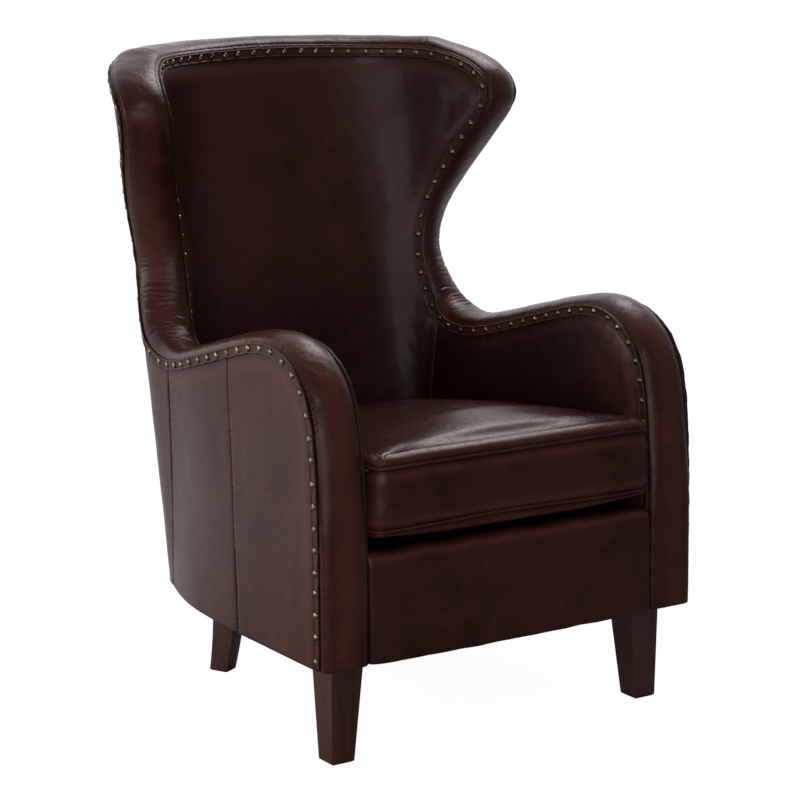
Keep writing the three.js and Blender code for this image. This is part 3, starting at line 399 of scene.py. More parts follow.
def tube(name, rings, attributes=None, closed=False, caps=True):
    """Closed piece from rings of points."""
    rings = np.asarray(rings)
    count, sides = rings.shape[:2]
    faces = quads(count, sides, around=True)
    if closed:
        last = (count - 1) * sides
        faces += [[last + i, last + (i + 1) % sides, (i + 1) % sides, i] for i in range(sides)]
    elif caps:
        faces += [list(range(sides))[::-1], [(count - 1) * sides + i for i in range(sides)]]
    return turn_out(mesh_object(name, rings.reshape(-1, 3), faces, attributes))


def mirror(piece, name):
    """Mirror image of a piece, on the left side."""
    mesh = piece.data.copy()
    mesh.name = name
    count = len(mesh.vertices)
    place = np.empty(count * 3, np.float32)
    mesh.vertices.foreach_get("co", place)
    place[0::3] *= -1
    mesh.vertices.foreach_set("co", place)
    mesh.flip_normals()
    other = bpy.data.objects.new(name, mesh)
    bpy.context.scene.collection.objects.link(other)
    return other


# Node helpers
class Nodes:
    """Short ways to add nodes to a material."""

    def __init__(self, name):
        self.material = bpy.data.materials.new(name)
        self.material.use_nodes = True
        self.tree = self.material.node_tree
        self.shader = self.tree.nodes["Principled BSDF"]
        self.place = self.tree.nodes.new("ShaderNodeTexCoord").outputs["Object"]

    def link(self, a, b):
        self.tree.links.new(a, b)

    def put(self, socket, value):
        if hasattr(value, "node"):
            self.link(value, socket)
        else:
            socket.default_value = value

    def scaled(self, x, y, z):
        node = self.tree.nodes.new("ShaderNodeMapping")
        node.inputs["Scale"].default_value = (x, y, z)
        self.link(self.place, node.inputs["Vector"])
        return node.outputs["Vector"]

    def noise(self, scale, detail=3.0, rough=0.5, distort=0.0, place=None):
        node = self.tree.nodes.new("ShaderNodeTexNoise")
        node.inputs["Scale"].default_value = scale
        node.inputs["Detail"].default_value = detail
        node.inputs["Roughness"].default_value = rough
        node.inputs["Distortion"].default_value = distort
        self.link(place or self.place, node.inputs["Vector"])
        return node.outputs["Fac"]

    def cells(self, scale, feature="DISTANCE_TO_EDGE", place=None, random=1.0):
        node = self.tree.nodes.new("ShaderNodeTexVoronoi")
        node.feature = feature
        node.inputs["Scale"].default_value = scale
        node.inputs["Randomness"].default_value = random
        self.link(place or self.place, node.inputs["Vector"])
        return node.outputs["Distance"]

    def span(self, value, low, high, to_low=0.0, to_high=1.0):
        node = self.tree.nodes.new("ShaderNodeMapRange")
        self.put(node.inputs["Value"], value)
        for key, number in (("From Min", low), ("From Max", high), ("To Min", to_low), ("To Max", to_high)):
            node.inputs[key].default_value = number
        return node.outputs["Result"]

    def math(self, kind, a, b=0.0):
        node = self.tree.nodes.new("ShaderNodeMath")
        node.operation = kind
        self.put(node.inputs[0], a)
        self.put(node.inputs[1], b)
        return node.outputs["Value"]

    def mixed(self, factor, a, b, kind="MIX"):
        node = self.tree.nodes.new("ShaderNodeMix")
        node.data_type = "RGBA"
        node.blend_type = kind
        self.put(node.inputs["Factor"], factor)
        self.put(node.inputs["A"], (*a, 1) if isinstance(a, tuple) else a)
        self.put(node.inputs["B"], (*b, 1) if isinstance(b, tuple) else b)
        return node.outputs["Result"]

    def attribute(self, name):
        node = self.tree.nodes.new("ShaderNodeAttribute")
        node.attribute_name = name
        return node.outputs["Fac"]

    def bump(self, height, distance, strength=1.0, under=None):
        node = self.tree.nodes.new("ShaderNodeBump")
        node.inputs["Strength"].default_value = strength
        node.inputs["Distance"].default_value = distance
        self.link(height, node.inputs["Height"])
        if under is not None:
            self.link(under, node.inputs["Normal"])
        return node.outputs["Normal"]

    def finish(self, color, roughness, normal=None, **sockets):
        self.put(self.shader.inputs["Base Color"], color)
        self.put(self.shader.inputs["Roughness"], roughness)
        if normal is not None:
            self.link(normal, self.shader.inputs["Normal"])
        for key, value in sockets.items():
            self.shader.inputs[key.replace("_", " ")].default_value = value
        return self.material


def leather(name, dark, mid, light, rough=(0.23, 0.31), grain=0.00007, wear=0.5):
    """Rubbed leather: mottled colour, painted shade and dirt in recesses, lighter worn ridges and painted highlights,
    pores and fine creases.
    """
    n = Nodes(name)
    broad = n.noise(4.5, 4, 0.55, 0.4)
    patches = n.noise(17, 5, 0.6, 0.6)
    fine = n.noise(240, 4, 0.6)
    color = n.mixed(n.span(broad, 0.32, 0.68), dark, mid)
    color = n.mixed(n.span(patches, 0.45, 0.78, 0.0, 0.7), color, light)
    color = n.mixed(n.span(fine, 0.35, 0.75, 0.0, 0.35), color, tuple(0.55 * c for c in dark))
    # Lighter where worn, and a painted highlight along the welts' tops
    color = n.mixed(n.math("MULTIPLY", n.attribute("wear"), wear), color, tuple(1.9 * c for c in light))
    # Painted shade: darker in recesses, creases, seams and under overhangs, where shade falls
    color = n.mixed(n.math("MULTIPLY", n.attribute("painted_shade_and_dirt"), 0.85), color, tuple(0.25 * c for c in dark))
    warp = n.mixed(0.02, n.place, n.noise(60, 3), "ADD")
    pores = n.span(n.cells(820, place=warp), 0.0, 0.35)
    creases = n.span(n.cells(210, place=n.scaled(1, 1, 1)), 0.0, 0.22)
    normal = n.bump(pores, grain)
    normal = n.bump(creases, 0.35 * grain, 0.5, normal)
    normal = n.bump(n.noise(30, 3, 0.5), 0.0004, 0.6, normal)
    roughness = n.math("ADD", n.span(n.noise(11, 4), 0.3, 0.7, *rough), n.span(fine, 0.3, 0.7, -0.03, 0.03))
    roughness = n.math("ADD", roughness, n.math("MULTIPLY", n.attribute("painted_shade_and_dirt"), 0.12))
    return n.finish(color, roughness, normal, Specular_IOR_Level=0.26, Specular_Tint=(1.0, 0.78, 0.78, 1),
                    Coat_Weight=0.08, Coat_Roughness=0.16)


def wood(name, dark, mid, rough=0.38, coat=0.25, along=(1, 1, 0.06)):
    n = Nodes(name)
    place = n.scaled(*along)
    rings = n.noise(60, 6, 0.62, 1.2, place)
    pores = n.noise(900, 3, 0.6, 0.0, place)
    color = n.mixed(n.span(rings, 0.3, 0.7), dark, mid)
    color = n.mixed(n.span(pores, 0.5, 0.8, 0.0, 0.5), color, tuple(0.4 * c for c in dark))
    normal = n.bump(pores, 0.0002, 0.6)
    roughness = n.span(n.noise(25, 3), 0.3, 0.7, rough - 0.05, rough + 0.07)
    return n.finish(color, roughness, normal, Coat_Weight=coat, Coat_Roughness=0.2)


def woven(name, dark, light, pitch=900, rough=0.9):
    n = Nodes(name)
    threads = []
    for axis in (0, 1):
        wave = n.tree.nodes.new("ShaderNodeTexWave")
        wave.bands_direction = "XY"[axis]
        wave.inputs["Scale"].default_value = pitch / (2 * math.pi) * 0.5
        wave.inputs["Distortion"].default_value = 0.6
        wave.inputs["Detail"].default_value = 1.0
        n.link(n.place, wave.inputs["Vector"])
        threads.append(wave.outputs["Fac"])
    weave = n.math("MULTIPLY", threads[0], threads[1])
    color = n.mixed(n.span(n.math("ADD", weave, n.noise(30, 4)), 0.3, 1.2), dark, light)
    return n.finish(color, rough, n.bump(weave, 0.0003), Specular_IOR_Level=0.2)


def foam(name, dark, light):
    n = Nodes(name)
    holes = n.cells(420, "F1")
    color = n.mixed(n.span(holes, 0.1, 0.6), light, dark)
    color = n.mixed(n.span(n.noise(9, 3), 0.35, 0.7, 0, 0.3), color, dark)
    return n.finish(color, 0.95, n.bump(holes, 0.0008))


def metal(name, dark, light, rough=0.35, scale=120):
    n = Nodes(name)
    tarnish = n.noise(scale, 5, 0.65, 0.5)
    color = n.mixed(n.span(tarnish, 0.35, 0.65), dark, light)
    roughness = n.span(tarnish, 0.3, 0.7, rough + 0.15, rough - 0.08)
    return n.finish(color, roughness, n.bump(n.noise(scale * 6, 3), 0.00008, 0.5), Metallic=1.0)


HIDE = leather("leather_hide", (0.032, 0.0080, 0.0055), (0.062, 0.0162, 0.0108), (0.090, 0.0240, 0.0152))
HIDE_ROLL = leather("leather_roll", (0.034, 0.0086, 0.0059), (0.066, 0.0172, 0.0114), (0.098, 0.0262, 0.0166))
HIDE_BAND = leather("leather_band", (0.030, 0.0088, 0.0062), (0.060, 0.0180, 0.0120), (0.095, 0.0310, 0.0195),
                    rough=(0.34, 0.48), wear=0.7)
LEG_WOOD = wood("leg_mahogany", (0.038, 0.0092, 0.0064), (0.092, 0.0240, 0.0150))
FRAME_WOOD = wood("frame_hardwood", (0.28, 0.17, 0.09), (0.46, 0.31, 0.18), 0.62, 0.0, (1, 1, 1))
# Black lining, darker than real cloth so that the deck shows as painted shade in the gap under the cushion
CLOTH = woven("lining_black_painted_shade", (0.0025, 0.0022, 0.0022), (0.007, 0.0065, 0.0065))
WEBBING = woven("webbing_brown", (0.035, 0.024, 0.016), (0.12, 0.085, 0.055), 500)
FOAM = foam("foam_cream", (0.42, 0.37, 0.24), (0.72, 0.66, 0.48))
BRASS = metal("nail_brass", (0.060, 0.042, 0.024), (0.42, 0.31, 0.19), 0.30)
STEEL = metal("spring_steel", (0.20, 0.21, 0.22), (0.42, 0.43, 0.44), 0.3)
ZINC = metal("bolt_zinc", (0.38, 0.38, 0.37), (0.58, 0.58, 0.56), 0.36)


def dress(piece, material, body, slot, *replaced):
    piece.data.materials.clear()
    piece.data.materials.append(material)
    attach(piece, body)
    if replaced:
        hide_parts(*replaced)
    return piece


def crease(distance, width, depth):
    """Cross-section of a crease: a valley with low shoulders."""
    u = distance / width
    return -depth * np.exp(-u * u) + 0.35 * depth * np.exp(-((np.abs(u) - 2.1) / 0.9) ** 2)


# Rolls
def by_station(table, stations):
    """Values at stations from a table of them, with smooth steps from one to the next."""
    value = table[0][1] + 0 * np.asarray(stations, float)
    for (low, _), (high, following) in zip(table, table[1:]):
        value = mix(value, following, smooth(stations, low, high))
    return value


def roll_section(power, half, rise, puff, angles):
    """Places across a roll and out from it, at shares of its section's length."""
    theta = np.linspace(0, np.pi, 241)
    cos, sin = np.cos(theta), np.sin(theta)
    across = -(half + puff * sin ** 0.5) * np.sign(cos) * np.abs(cos) ** power
    out = rise * sin ** power
    lengths = np.concatenate([[0], np.cumsum(np.hypot(np.diff(across), np.diff(out)))])
    at = angles * lengths[-1]
    return np.interp(at, lengths, across), np.interp(at, lengths, out)


def roll_folds(run, angle, folds):
    """Height of the folds on a roll at each place: run along the edge, angle share across it."""
    height = np.zeros(np.broadcast(run, angle).shape)
    for centre, slant, width, depth, middle_share, reach in folds:
        wander = 2.0 * np.sin(angle * 7 + centre) + 1.2 * np.sin(angle * 17 + 2 * centre)
        distance = run - centre - slant * (angle - middle_share) * 100 - wander
        fade = np.exp(-((angle - middle_share) / reach) ** 2)
        height += crease(distance, width, depth) * fade
    return height


def draw_folds():
    """Folds of the right-hand roll: gathers along the bends and creases over the waist."""
    folds = []
    draw = np.random.default_rng(21)
    for side_share, low, high, pitch, depth in (
        (0.92, 2.9, 6.5, 8.5, 1.5), (0.08, 3.2, 6.2, 11, 1.0), (0.08, 17.2, 21.4, 9, 0.8), (0.92, 17.2, 21.5, 9.5, 1.0),
    ):
        run = length_at(low)
        while run < length_at(high):
            strength = draw.uniform(0.25, 1.0)
            folds.append((run, draw.uniform(0.1, 1.0) * (-1 if side_share > 0.5 else 1), draw.uniform(0.9, 1.5),
                          depth * strength, side_share, draw.uniform(0.035, 0.085)))
            run += pitch * draw.uniform(0.55, 1.45)
    run = length_at(8.6)
    while run < length_at(13.6):
        here = station_at(run)
        strength = float(np.exp(-((here - 11.0) / 1.9) ** 2)) * draw.uniform(0.35, 1.0)
        folds.append((run, draw.uniform(-0.25, 0.25), draw.uniform(1.6, 3.6), 1.9 * strength,
                      draw.uniform(0.28, 0.72), draw.uniform(0.09, 0.22)))
        run += 11.5 * draw.uniform(0.55, 1.5)
    return folds


ROLL_FOLDS = draw_folds()


ROLL_SEAM = length_at(CORNER) - ROLL_SEAM_SHIFT


def roll_points(stations, angles, folds):
    edge = Edge(stations)
    run = length_at(stations)[:, None]
    beside_seam = np.exp(-((run - ROLL_SEAM) / 22) ** 2)
    rise = by_station(ROLL_RISES, stations) + 1.2 * beside_seam[:, 0]
    half = half_wall(edge.height)
    puff = by_station(ROLL_PUFFS, stations)
    sections = zip(by_station(ROLL_POWERS, stations), half, rise, puff)
    places = [roll_section(*row, angles) for row in sections]
    across, out = (np.array([row[k] for row in places]) for k in (0, 1))
    half, sin = half[:, None], np.sin(np.pi * angles)[None, :]
    flat = np.stack([run + 0 * out, 100 * angles[None, :] + 0 * run], -1)
    lumps = 0.45 * ripple(flat, 70, 3) + 0.18 * ripple(flat, 24, 4)
    ends = np.minimum(angles, 1 - angles)[None, :] * 115 + 0 * run
    piping = mix(0.35, 1.0, smooth(stations, 13, 17))[:, None] * smooth(stations, 1.5, 3)[:, None]
    pucker = 1 + 0.35 * ripple(np.stack([run + 0 * ends, 4 * ends], -1), 7, 6)
    ridge = 0.9 * np.exp(-((ends - 10.5) / 1.7) ** 2) - 0.8 * np.exp(-((ends - 14.3) / 1.6) ** 2)
    height = roll_folds(run, angles[None, :], folds) + lumps * sin + piping * pucker * ridge
    slope_across, slope_out = np.gradient(across, axis=1), np.gradient(out, axis=1)
    size = np.hypot(slope_across, slope_out)
    across = across - height * slope_out / size
    out = out + height * slope_across / size
    bulge = ROLL_SEAM_BULGE * beside_seam * sin
    points = (edge.origin[:, None] + edge.normal[:, None] * across[..., None]
              + edge.outward[:, None] * out[..., None] + edge.along[:, None] * bulge[..., None])
    base_share = np.linspace(-1, 1, 7)[::-1] * 0.96
    base = (edge.origin[:, None] + edge.normal[:, None] * (base_share * half)[..., None]
            + edge.outward[:, None] * -1.0)
    # Painted shade: darker where the roll meets the band, in the folds' valleys and in the groove beside the piping
    depth = np.clip(-roll_folds(run, angles[None, :], folds), 0, 3) / 2.0
    groove = 0.6 * piping * np.exp(-((ends - 14.3) / 1.8) ** 2)
    painted_shade_and_dirt = np.clip(0.9 * np.exp(-np.maximum(ends - 7, 0) / 2.5) + depth + groove, 0, 1)
    wear = 0.3 * smooth(sin, 0.75, 1.0) + 0.35 * np.clip(height - 0.5, 0, 1)
    wear = np.clip(wear + 0.5 * piping * np.exp(-((ends - 10.5) / 1.6) ** 2), 0, 1)
    return points, base, painted_shade_and_dirt, wear


def make_roll(name, stations, fold_list, cap_start, cap_end, whole=False):
    angles = np.linspace(0, 1, 63)
    angles = mix(angles, (1 - np.cos(np.pi * angles)) / 2, 0.55)
    points, base, painted_shade_and_dirt, wear = roll_points(stations, angles, fold_list)
    rings = np.concatenate([points, base], 1)
    # The roll's base against the wall is painted in full shade
    painted_shade_and_dirt = np.concatenate([painted_shade_and_dirt, np.ones(base.shape[:2])], 1)
    wear = np.concatenate([wear, np.zeros(base.shape[:2])], 1)
    if whole:
        rings = np.concatenate([rings, rings[-2::-1] * FLIP])
        painted_shade_and_dirt, wear = np.concatenate([painted_shade_and_dirt, painted_shade_and_dirt[-2::-1]]), np.concatenate([wear, wear[-2::-1]])

    def rounded(ring, inward, shade_and_dirt_row, wear_row, radius):
        """Rings of a rounded end: they shrink towards the section's middle and are painted with more shade towards the
        tip.
        """
        centre = ring.mean(0)
        more, shades, shines = [], [], []
        for turn in (0.35, 0.7, 0.92, 1.0):
            shrink = radius * (1 - math.cos(turn * math.pi / 2))
            step = radius * math.sin(turn * math.pi / 2)
            offset = ring - centre
            length = np.linalg.norm(offset, axis=1, keepdims=True)
            more.append(centre + offset * (length - shrink) / np.maximum(length, 1) + inward * step)
            shades.append(np.clip(shade_and_dirt_row + 0.8 * turn, 0, 1))
            shines.append(wear_row)
        return more, shades, shines

    if cap_start:
        inward = unit(rings[0].mean(0) - rings[1].mean(0))
        more, shades, shines = rounded(rings[0] - inward * cap_start, inward, painted_shade_and_dirt[0], wear[0], cap_start)
        keep = 1 + int(cap_start / ROLL_STEP)
        rings = np.concatenate([np.array(more[::-1]), rings[keep:]])
        painted_shade_and_dirt, wear = np.concatenate([shades[::-1], painted_shade_and_dirt[keep:]]), np.concatenate([shines[::-1], wear[keep:]])
    if cap_end:
        inward = unit(rings[-1].mean(0) - rings[-2].mean(0))
        more, shades, shines = rounded(rings[-1] - inward * cap_end, inward, painted_shade_and_dirt[-1], wear[-1], cap_end)
        keep = -1 - int(cap_end / ROLL_STEP)
        rings = np.concatenate([rings[:keep], np.array(more)])
        painted_shade_and_dirt, wear = np.concatenate([painted_shade_and_dirt[:keep], shades]), np.concatenate([wear[:keep], shines])
    return tube(name, rings, {"painted_shade_and_dirt": painted_shade_and_dirt, "wear": wear})


ROLL_STEP = 1.4
seam_gap = 0.06


def roll_stations(low, high):
    return station_at(np.linspace(low, high, 1 + int((high - low) / ROLL_STEP)))


side_stations = roll_stations(length_at(0), ROLL_SEAM - seam_gap)
roll_right = make_roll("roll_right", side_stations, ROLL_FOLDS, 1.8, 2.0)
roll_left = mirror(roll_right, "roll_left")
top_stations = roll_stations(ROLL_SEAM + seam_gap, length_at(MIDDLE))
roll_top = make_roll("roll_top", top_stations, [], 1.4, 1.4, whole=True)
for piece, node in ((roll_right, "edge_roll_right"), (roll_left, "edge_roll_left"), (roll_top, "top_roll")):
    dress(piece, HIDE_ROLL, "chair", "leather", node)


# Bands and nails
def nail_runs(start):
    """Lengths along the right half's edge where nails sit; the middle one is shared."""
    end = length_at(MIDDLE)
    first = length_at(start) + 14
    count = int(round((end - first) / NAIL_PITCH))
    runs = np.linspace(first, end, count + 1)
    runs[:-1] += rng.uniform(-2.2, 2.2, count)
    return runs


BAND_SECTION = (
    (-1.0, -2.4), (-1.03, 0.8), (-0.98, 2.3), (-0.89, 2.9), (-0.79, 2.6), (-0.71, 1.5), (-0.4, 1.2), (0.0, 1.2),
    (0.4, 1.2), (0.71, 1.5), (0.79, 2.6), (0.89, 2.9), (0.98, 2.3), (1.03, 0.8), (1.0, -2.4),
)


def make_band(name, side, start, runs):
    stations = spaced(start, MIDDLE, 3.0)
    edge = Edge(stations)
    run = length_at(stations)
    nearest = np.abs(run[:, None] - runs[None, :]).min(1)
    pinch = np.exp(-(nearest / 7.5) ** 2)
    widths = BAND_WIDTH / 2 * (1 - 0.07 * pinch + 0.035 * ripple(run[:, None], 22, 5 + side))
    face = half_wall(edge.height) + 1.4 + 0.4 * ripple(run[:, None], 40, 8 + side) - 0.25 * pinch
    rings = []
    for u, v in BAND_SECTION:
        rings.append(edge.origin + edge.outward * (u * widths)[:, None]
                     + edge.normal * (side * (face + v))[:, None])
    rings = np.stack(rings, 1)
    u = np.array([abs(p[0]) for p in BAND_SECTION])
    v = np.array([p[1] for p in BAND_SECTION])
    # Painted shade on the band's tucked-in sides, in the groove inside each piping and around the nails where the band
    # is pulled in
    painted_shade_and_dirt = np.clip((v < 1).astype(float) + 0.55 * (np.abs(u - 0.7) < 0.06), 0, 1)[None, :] + 0 * run[:, None]
    painted_shade_and_dirt = np.clip(painted_shade_and_dirt + 0.6 * np.exp(-(nearest[:, None] / 6.5) ** 2) * (u < 0.75)[None, :], 0, 1)
    wear = (0.9 * (v > 2.4))[None, :] * (0.75 + 0.25 * ripple(run[:, None], 30, 12)[:, None])
    rings = np.concatenate([rings, rings[-2::-1] * FLIP])
    painted_shade_and_dirt, wear = np.concatenate([painted_shade_and_dirt, painted_shade_and_dirt[-2::-1]]), np.concatenate([wear, wear[-2::-1]])
    return tube(name, rings, {"painted_shade_and_dirt": np.clip(painted_shade_and_dirt, 0, 1), "wear": np.clip(wear, 0, 1)})


def make_nails(name, side, runs):
    edge = Edge(station_at(runs))
    face = half_wall(edge.height) + 1.4
    points, faces = [], []
    around, levels = 14, 5
    for k in range(len(runs)):
        for turn in ((1,) if k == len(runs) - 1 else (1, -1)):
            origin = edge.origin[k] + edge.normal[k] * side * (face[k] + 0.9)
            out = edge.normal[k] * side + 0.06 * rng.normal(size=3)
            a = edge.along[k]
            b = np.cross(out, a)
            shape = []
            for level in range(levels):
                lift = math.pi / 2 * level / levels
                radius = NAIL_RADIUS * math.cos(lift) ** 0.8
                for i in range(around):
                    angle = 2 * math.pi * i / around
                    shape.append(origin + a * radius * math.cos(angle) + b * radius * math.sin(angle)
                                 + out * NAIL_HEIGHT * math.sin(lift))
            shape.append(origin + out * NAIL_HEIGHT)
            shape.append(origin - out * 0.6)
            shape = np.array(shape)
            if turn < 0:
                shape = shape * FLIP
            start = len(points)
            points.extend(shape)
            loops = quads(levels, around, start, around=True)
            top, low = start + levels * around, start + levels * around + 1
            ring = start + (levels - 1) * around
            loops += [[ring + i, ring + (i + 1) % around, top] for i in range(around)]
            loops += [[start + (i + 1) % around, start + i, low] for i in range(around)]
            faces.extend(f[::-1] for f in loops) if turn < 0 else faces.extend(loops)
    piece = turn_out(mesh_object(name, np.array(points), faces))
    return dress(piece, BRASS, "chair", "band_leather")


NAILS_OVER_CUSHION = 2.2
for name, side, start, first_nail, node in (
    ("band_inner", -1, TRIM_FOOT, NAILS_OVER_CUSHION, "inner_band"), ("band_outer", 1, 0.02, 0.02, "outer_band"),
):
    runs = nail_runs(first_nail)
    dress(make_band(name, side, start, runs), HIDE_BAND, "chair", "band_leather", node)
    make_nails(name.replace("band", "nails"), side, runs)


# Panels of the wall
def patch(left, right, bottom, top):
    """Grid of shares and heights between four border lines."""
    rows, columns = len(left), len(bottom)
    s = np.linspace(0, 1, columns)[None, :, None]
    t = np.linspace(0, 1, rows)[:, None, None]
    across = mix(left[:, None], right[:, None], s)
    up = mix(bottom[None], top[None], t)
    corners = mix(mix(bottom[0], bottom[-1], s), mix(top[0], top[-1], s), t)
    return across + up - corners


def resampled(line, count, power=1.0):
    """Line of shares and heights with its points evenly spaced along the wall."""
    points = wall(line[:, 0], line[:, 1])
    lengths = np.concatenate([[0], np.cumsum(np.linalg.norm(np.diff(points, axis=0), axis=1))])
    at = np.linspace(0, lengths[-1], count)
    return np.stack([np.interp(at, lengths, line[:, k]) for k in (0, 1)], 1)


def edge_line(low, high):
    edge = Edge(np.linspace(low, high, 12 * int(high - low) + 1))
    return np.stack([edge.share, edge.height], 1)


def seam_line(foot_depth, foot_height, station, shift=0.0):
    """Seam from its foot up to the edge, moved towards the back by a distance."""
    foot = share_at_depth(foot_depth, foot_height)[0]
    end = Edge([station])
    t = np.linspace(0, 1, 60)
    line = np.stack([mix(foot, end.share[0], t), mix(foot_height, end.height[0], t)], 1)
    slope = np.linalg.norm(plan_slope(line[:, 0], line[:, 1]), axis=1)
    line[:, 0] += shift / slope
    return line


def front_line(foot_height):
    edge = Edge(np.linspace(0, SHOULDER, 60))
    z = np.linspace(foot_height, edge.height[-1], 30)
    return np.stack([np.interp(z, edge.height, edge.share), z], 1)


def back_half(foot_depth, seam_station, foot_height, rows, columns, shift):
    seam = seam_line(foot_depth, foot_height, seam_station, shift)
    left = resampled(np.concatenate([seam[:-1], edge_line(seam_station, CORNER)]), rows)
    top = resampled(edge_line(CORNER, MIDDLE), columns)
    t = np.linspace(0, 1, rows)
    right = np.stack([np.ones(rows), mix(foot_height, top[-1, 1], t)], 1)
    run = (top[:, 0] - top[0, 0]) / (1 - top[0, 0])
    bottom = np.stack([mix(left[0, 0], 1, run), np.full(columns, foot_height)], 1)
    return patch(left, right, bottom, top)


def arm_grid(left, right, top, foot_height):
    follow = (top[:, 0] - top[0, 0]) / (top[-1, 0] - top[0, 0])
    bottom = np.stack([mix(left[0, 0], right[0, 0], (follow + np.linspace(0, 1, len(top))) / 2),
                       np.full(len(top), foot_height)], 1)
    return patch(left, right, bottom, top)


def both_halves(grid):
    other = grid[:, -2::-1].copy()
    other[..., 0] = 2 - other[..., 0]
    return np.concatenate([grid, other], 1)


def seam_points(*seam):
    line = seam_line(*seam)
    right = wall(line[:, 0], line[:, 1])
    return np.concatenate([right, right * FLIP])


INNER_SEAM_POINTS = seam_points(INNER_SEAM_FOOT, SEAT_LINE_HEIGHT, INNER_SEAM)
OUTER_SEAM_POINTS = seam_points(OUTER_SEAM_FOOT, BODY_HEIGHT, OUTER_SEAM)
MIDDLE_SEAM_POINTS = seam_points(MIDDLE_SEAM_FOOT, BODY_HEIGHT, MIDDLE_SEAM)


def swell(grid, half=False):
    rows, columns = grid.shape[:2]
    s = np.linspace(0, math.pi / 2 if half else math.pi, columns)[None]
    t = np.linspace(0, math.pi, rows)[:, None]
    return (np.sin(s) * np.sin(t)) ** 2


def painted_inside_shade(places):
    """Painted shade deep inside the chair: darker low on the back, towards its sides and where the arms meet it."""
    x, y, z = np.abs(places[..., 0]), places[..., 1], places[..., 2]
    low = 0.35 * (1 - smooth(z, 450, 760))
    beside = 0.5 * smooth(x, 110, 250)
    corner = 0.6 * smooth(y, -230, -40) * (1 - smooth(z, 520, 680)) * smooth(x, 120, 240)
    return np.clip(low + beside + corner, 0, 0.88) * smooth(y, -260, -100)


def panel(name, grid, side, swelling, seams, puff, puff_width, gathers, seed, thickness=2.0):
    """Leather over padding: side is -1 for the inside of the wall and 1 for the outside."""
    share, z = grid[..., 0], grid[..., 1]
    base = wall(share, z)
    distance, run = to_edge(base)
    over = np.maximum(distance - BAND_WIDTH / 2, 0)
    rise = puff * (1 - np.exp(-(over / puff_width) ** 1.2))
    flat = np.stack([run, over], -1)
    pull = np.exp(-over / 13) * smooth(over, 0, 3)
    rise = rise + gathers * pull * np.abs(ripple(run[..., None], 17, seed)) * 0.8
    rise = rise + 0.5 * ripple(base, 130, seed + 1) * smooth(over, 5, 40) + 0.12 * ripple(base, 35, seed + 2) * smooth(over, 0, 25)
    # Painted shade beside the band, where the panel tucks under it, and in the seams' grooves
    painted_shade_and_dirt = np.exp(-np.maximum(distance - BAND_WIDTH / 2 - 0.5, 0) / 4.5)
    wear = 0.5 * smooth(over, 3, 12) * (1 - smooth(over, 14, 34))
    for seam in seams:
        away = to_line(base, seam)
        rise = rise - 2.4 * np.exp(-(away / 2.6) ** 1.4)
        painted_shade_and_dirt = np.maximum(painted_shade_and_dirt, np.exp(-(away / 2.2) ** 2))
        wear = wear + 0.12 * np.exp(-((away - 6) / 2.5) ** 2)
    # Inside covers get painted shade deep inside the chair
    if side < 0:
        painted_shade_and_dirt = np.maximum(painted_shade_and_dirt, painted_inside_shade(base))
    offset = side * (half_wall(z) + rise) if side > 0 else -(half_wall(z) + rise + swelling)
    front = wall(share, z, offset)
    back = wall(share, z, offset - side * (thickness + 3.0) if side > 0 else offset + thickness + 3.0)
    return slab(name, front, back, {"painted_shade_and_dirt": np.clip(painted_shade_and_dirt, 0, 1), "wear": np.clip(wear, 0, 1)})


inside_half = back_half(INNER_SEAM_FOOT, INNER_SEAM, SEAT_LINE_HEIGHT, 170, 66, GAP)
inside_grid = both_halves(inside_half)
inside_swell = BACK_SWELL * both_halves(np.stack([swell(inside_half, True)] * 2, -1) * 1.0)[..., 1]
inside_back = panel("inside_back", inside_grid, -1, inside_swell, [INNER_SEAM_POINTS], 4.0, 11, 0.7, 31)
dress(inside_back, HIDE, "chair", "leather", "inside_back_cover")

arm_rows = 74
inside_seam = resampled(seam_line(INNER_SEAM_FOOT, SEAT_LINE_HEIGHT, INNER_SEAM, -GAP), arm_rows)
inside_top = resampled(edge_line(SHOULDER, INNER_SEAM), 130)
inside_top[-1] = inside_seam[-1]
arm = arm_grid(resampled(front_line(SEAT_LINE_HEIGHT), arm_rows), inside_seam, inside_top, SEAT_LINE_HEIGHT)
inside_arm_right = panel("inside_arm_right", arm, -1, ARM_SWELL * swell(arm), [INNER_SEAM_POINTS], 4.0, 11, 1.3, 41)
inside_arm_left = mirror(inside_arm_right, "inside_arm_left")
for piece, sign in ((inside_arm_right, "right"), (inside_arm_left, "left")):
    dress(piece, HIDE, "chair", "leather", f"inside_arm_cover_{sign}")

outside_half = back_half(OUTER_SEAM_FOOT, OUTER_SEAM, BODY_HEIGHT, 190, 60, GAP)
outside_back = panel("outside_back_panel", both_halves(outside_half), 1, 0, [OUTER_SEAM_POINTS], 1.4, 10, 0.3, 51)
dress(outside_back, HIDE, "chair", "leather", "outside_back")

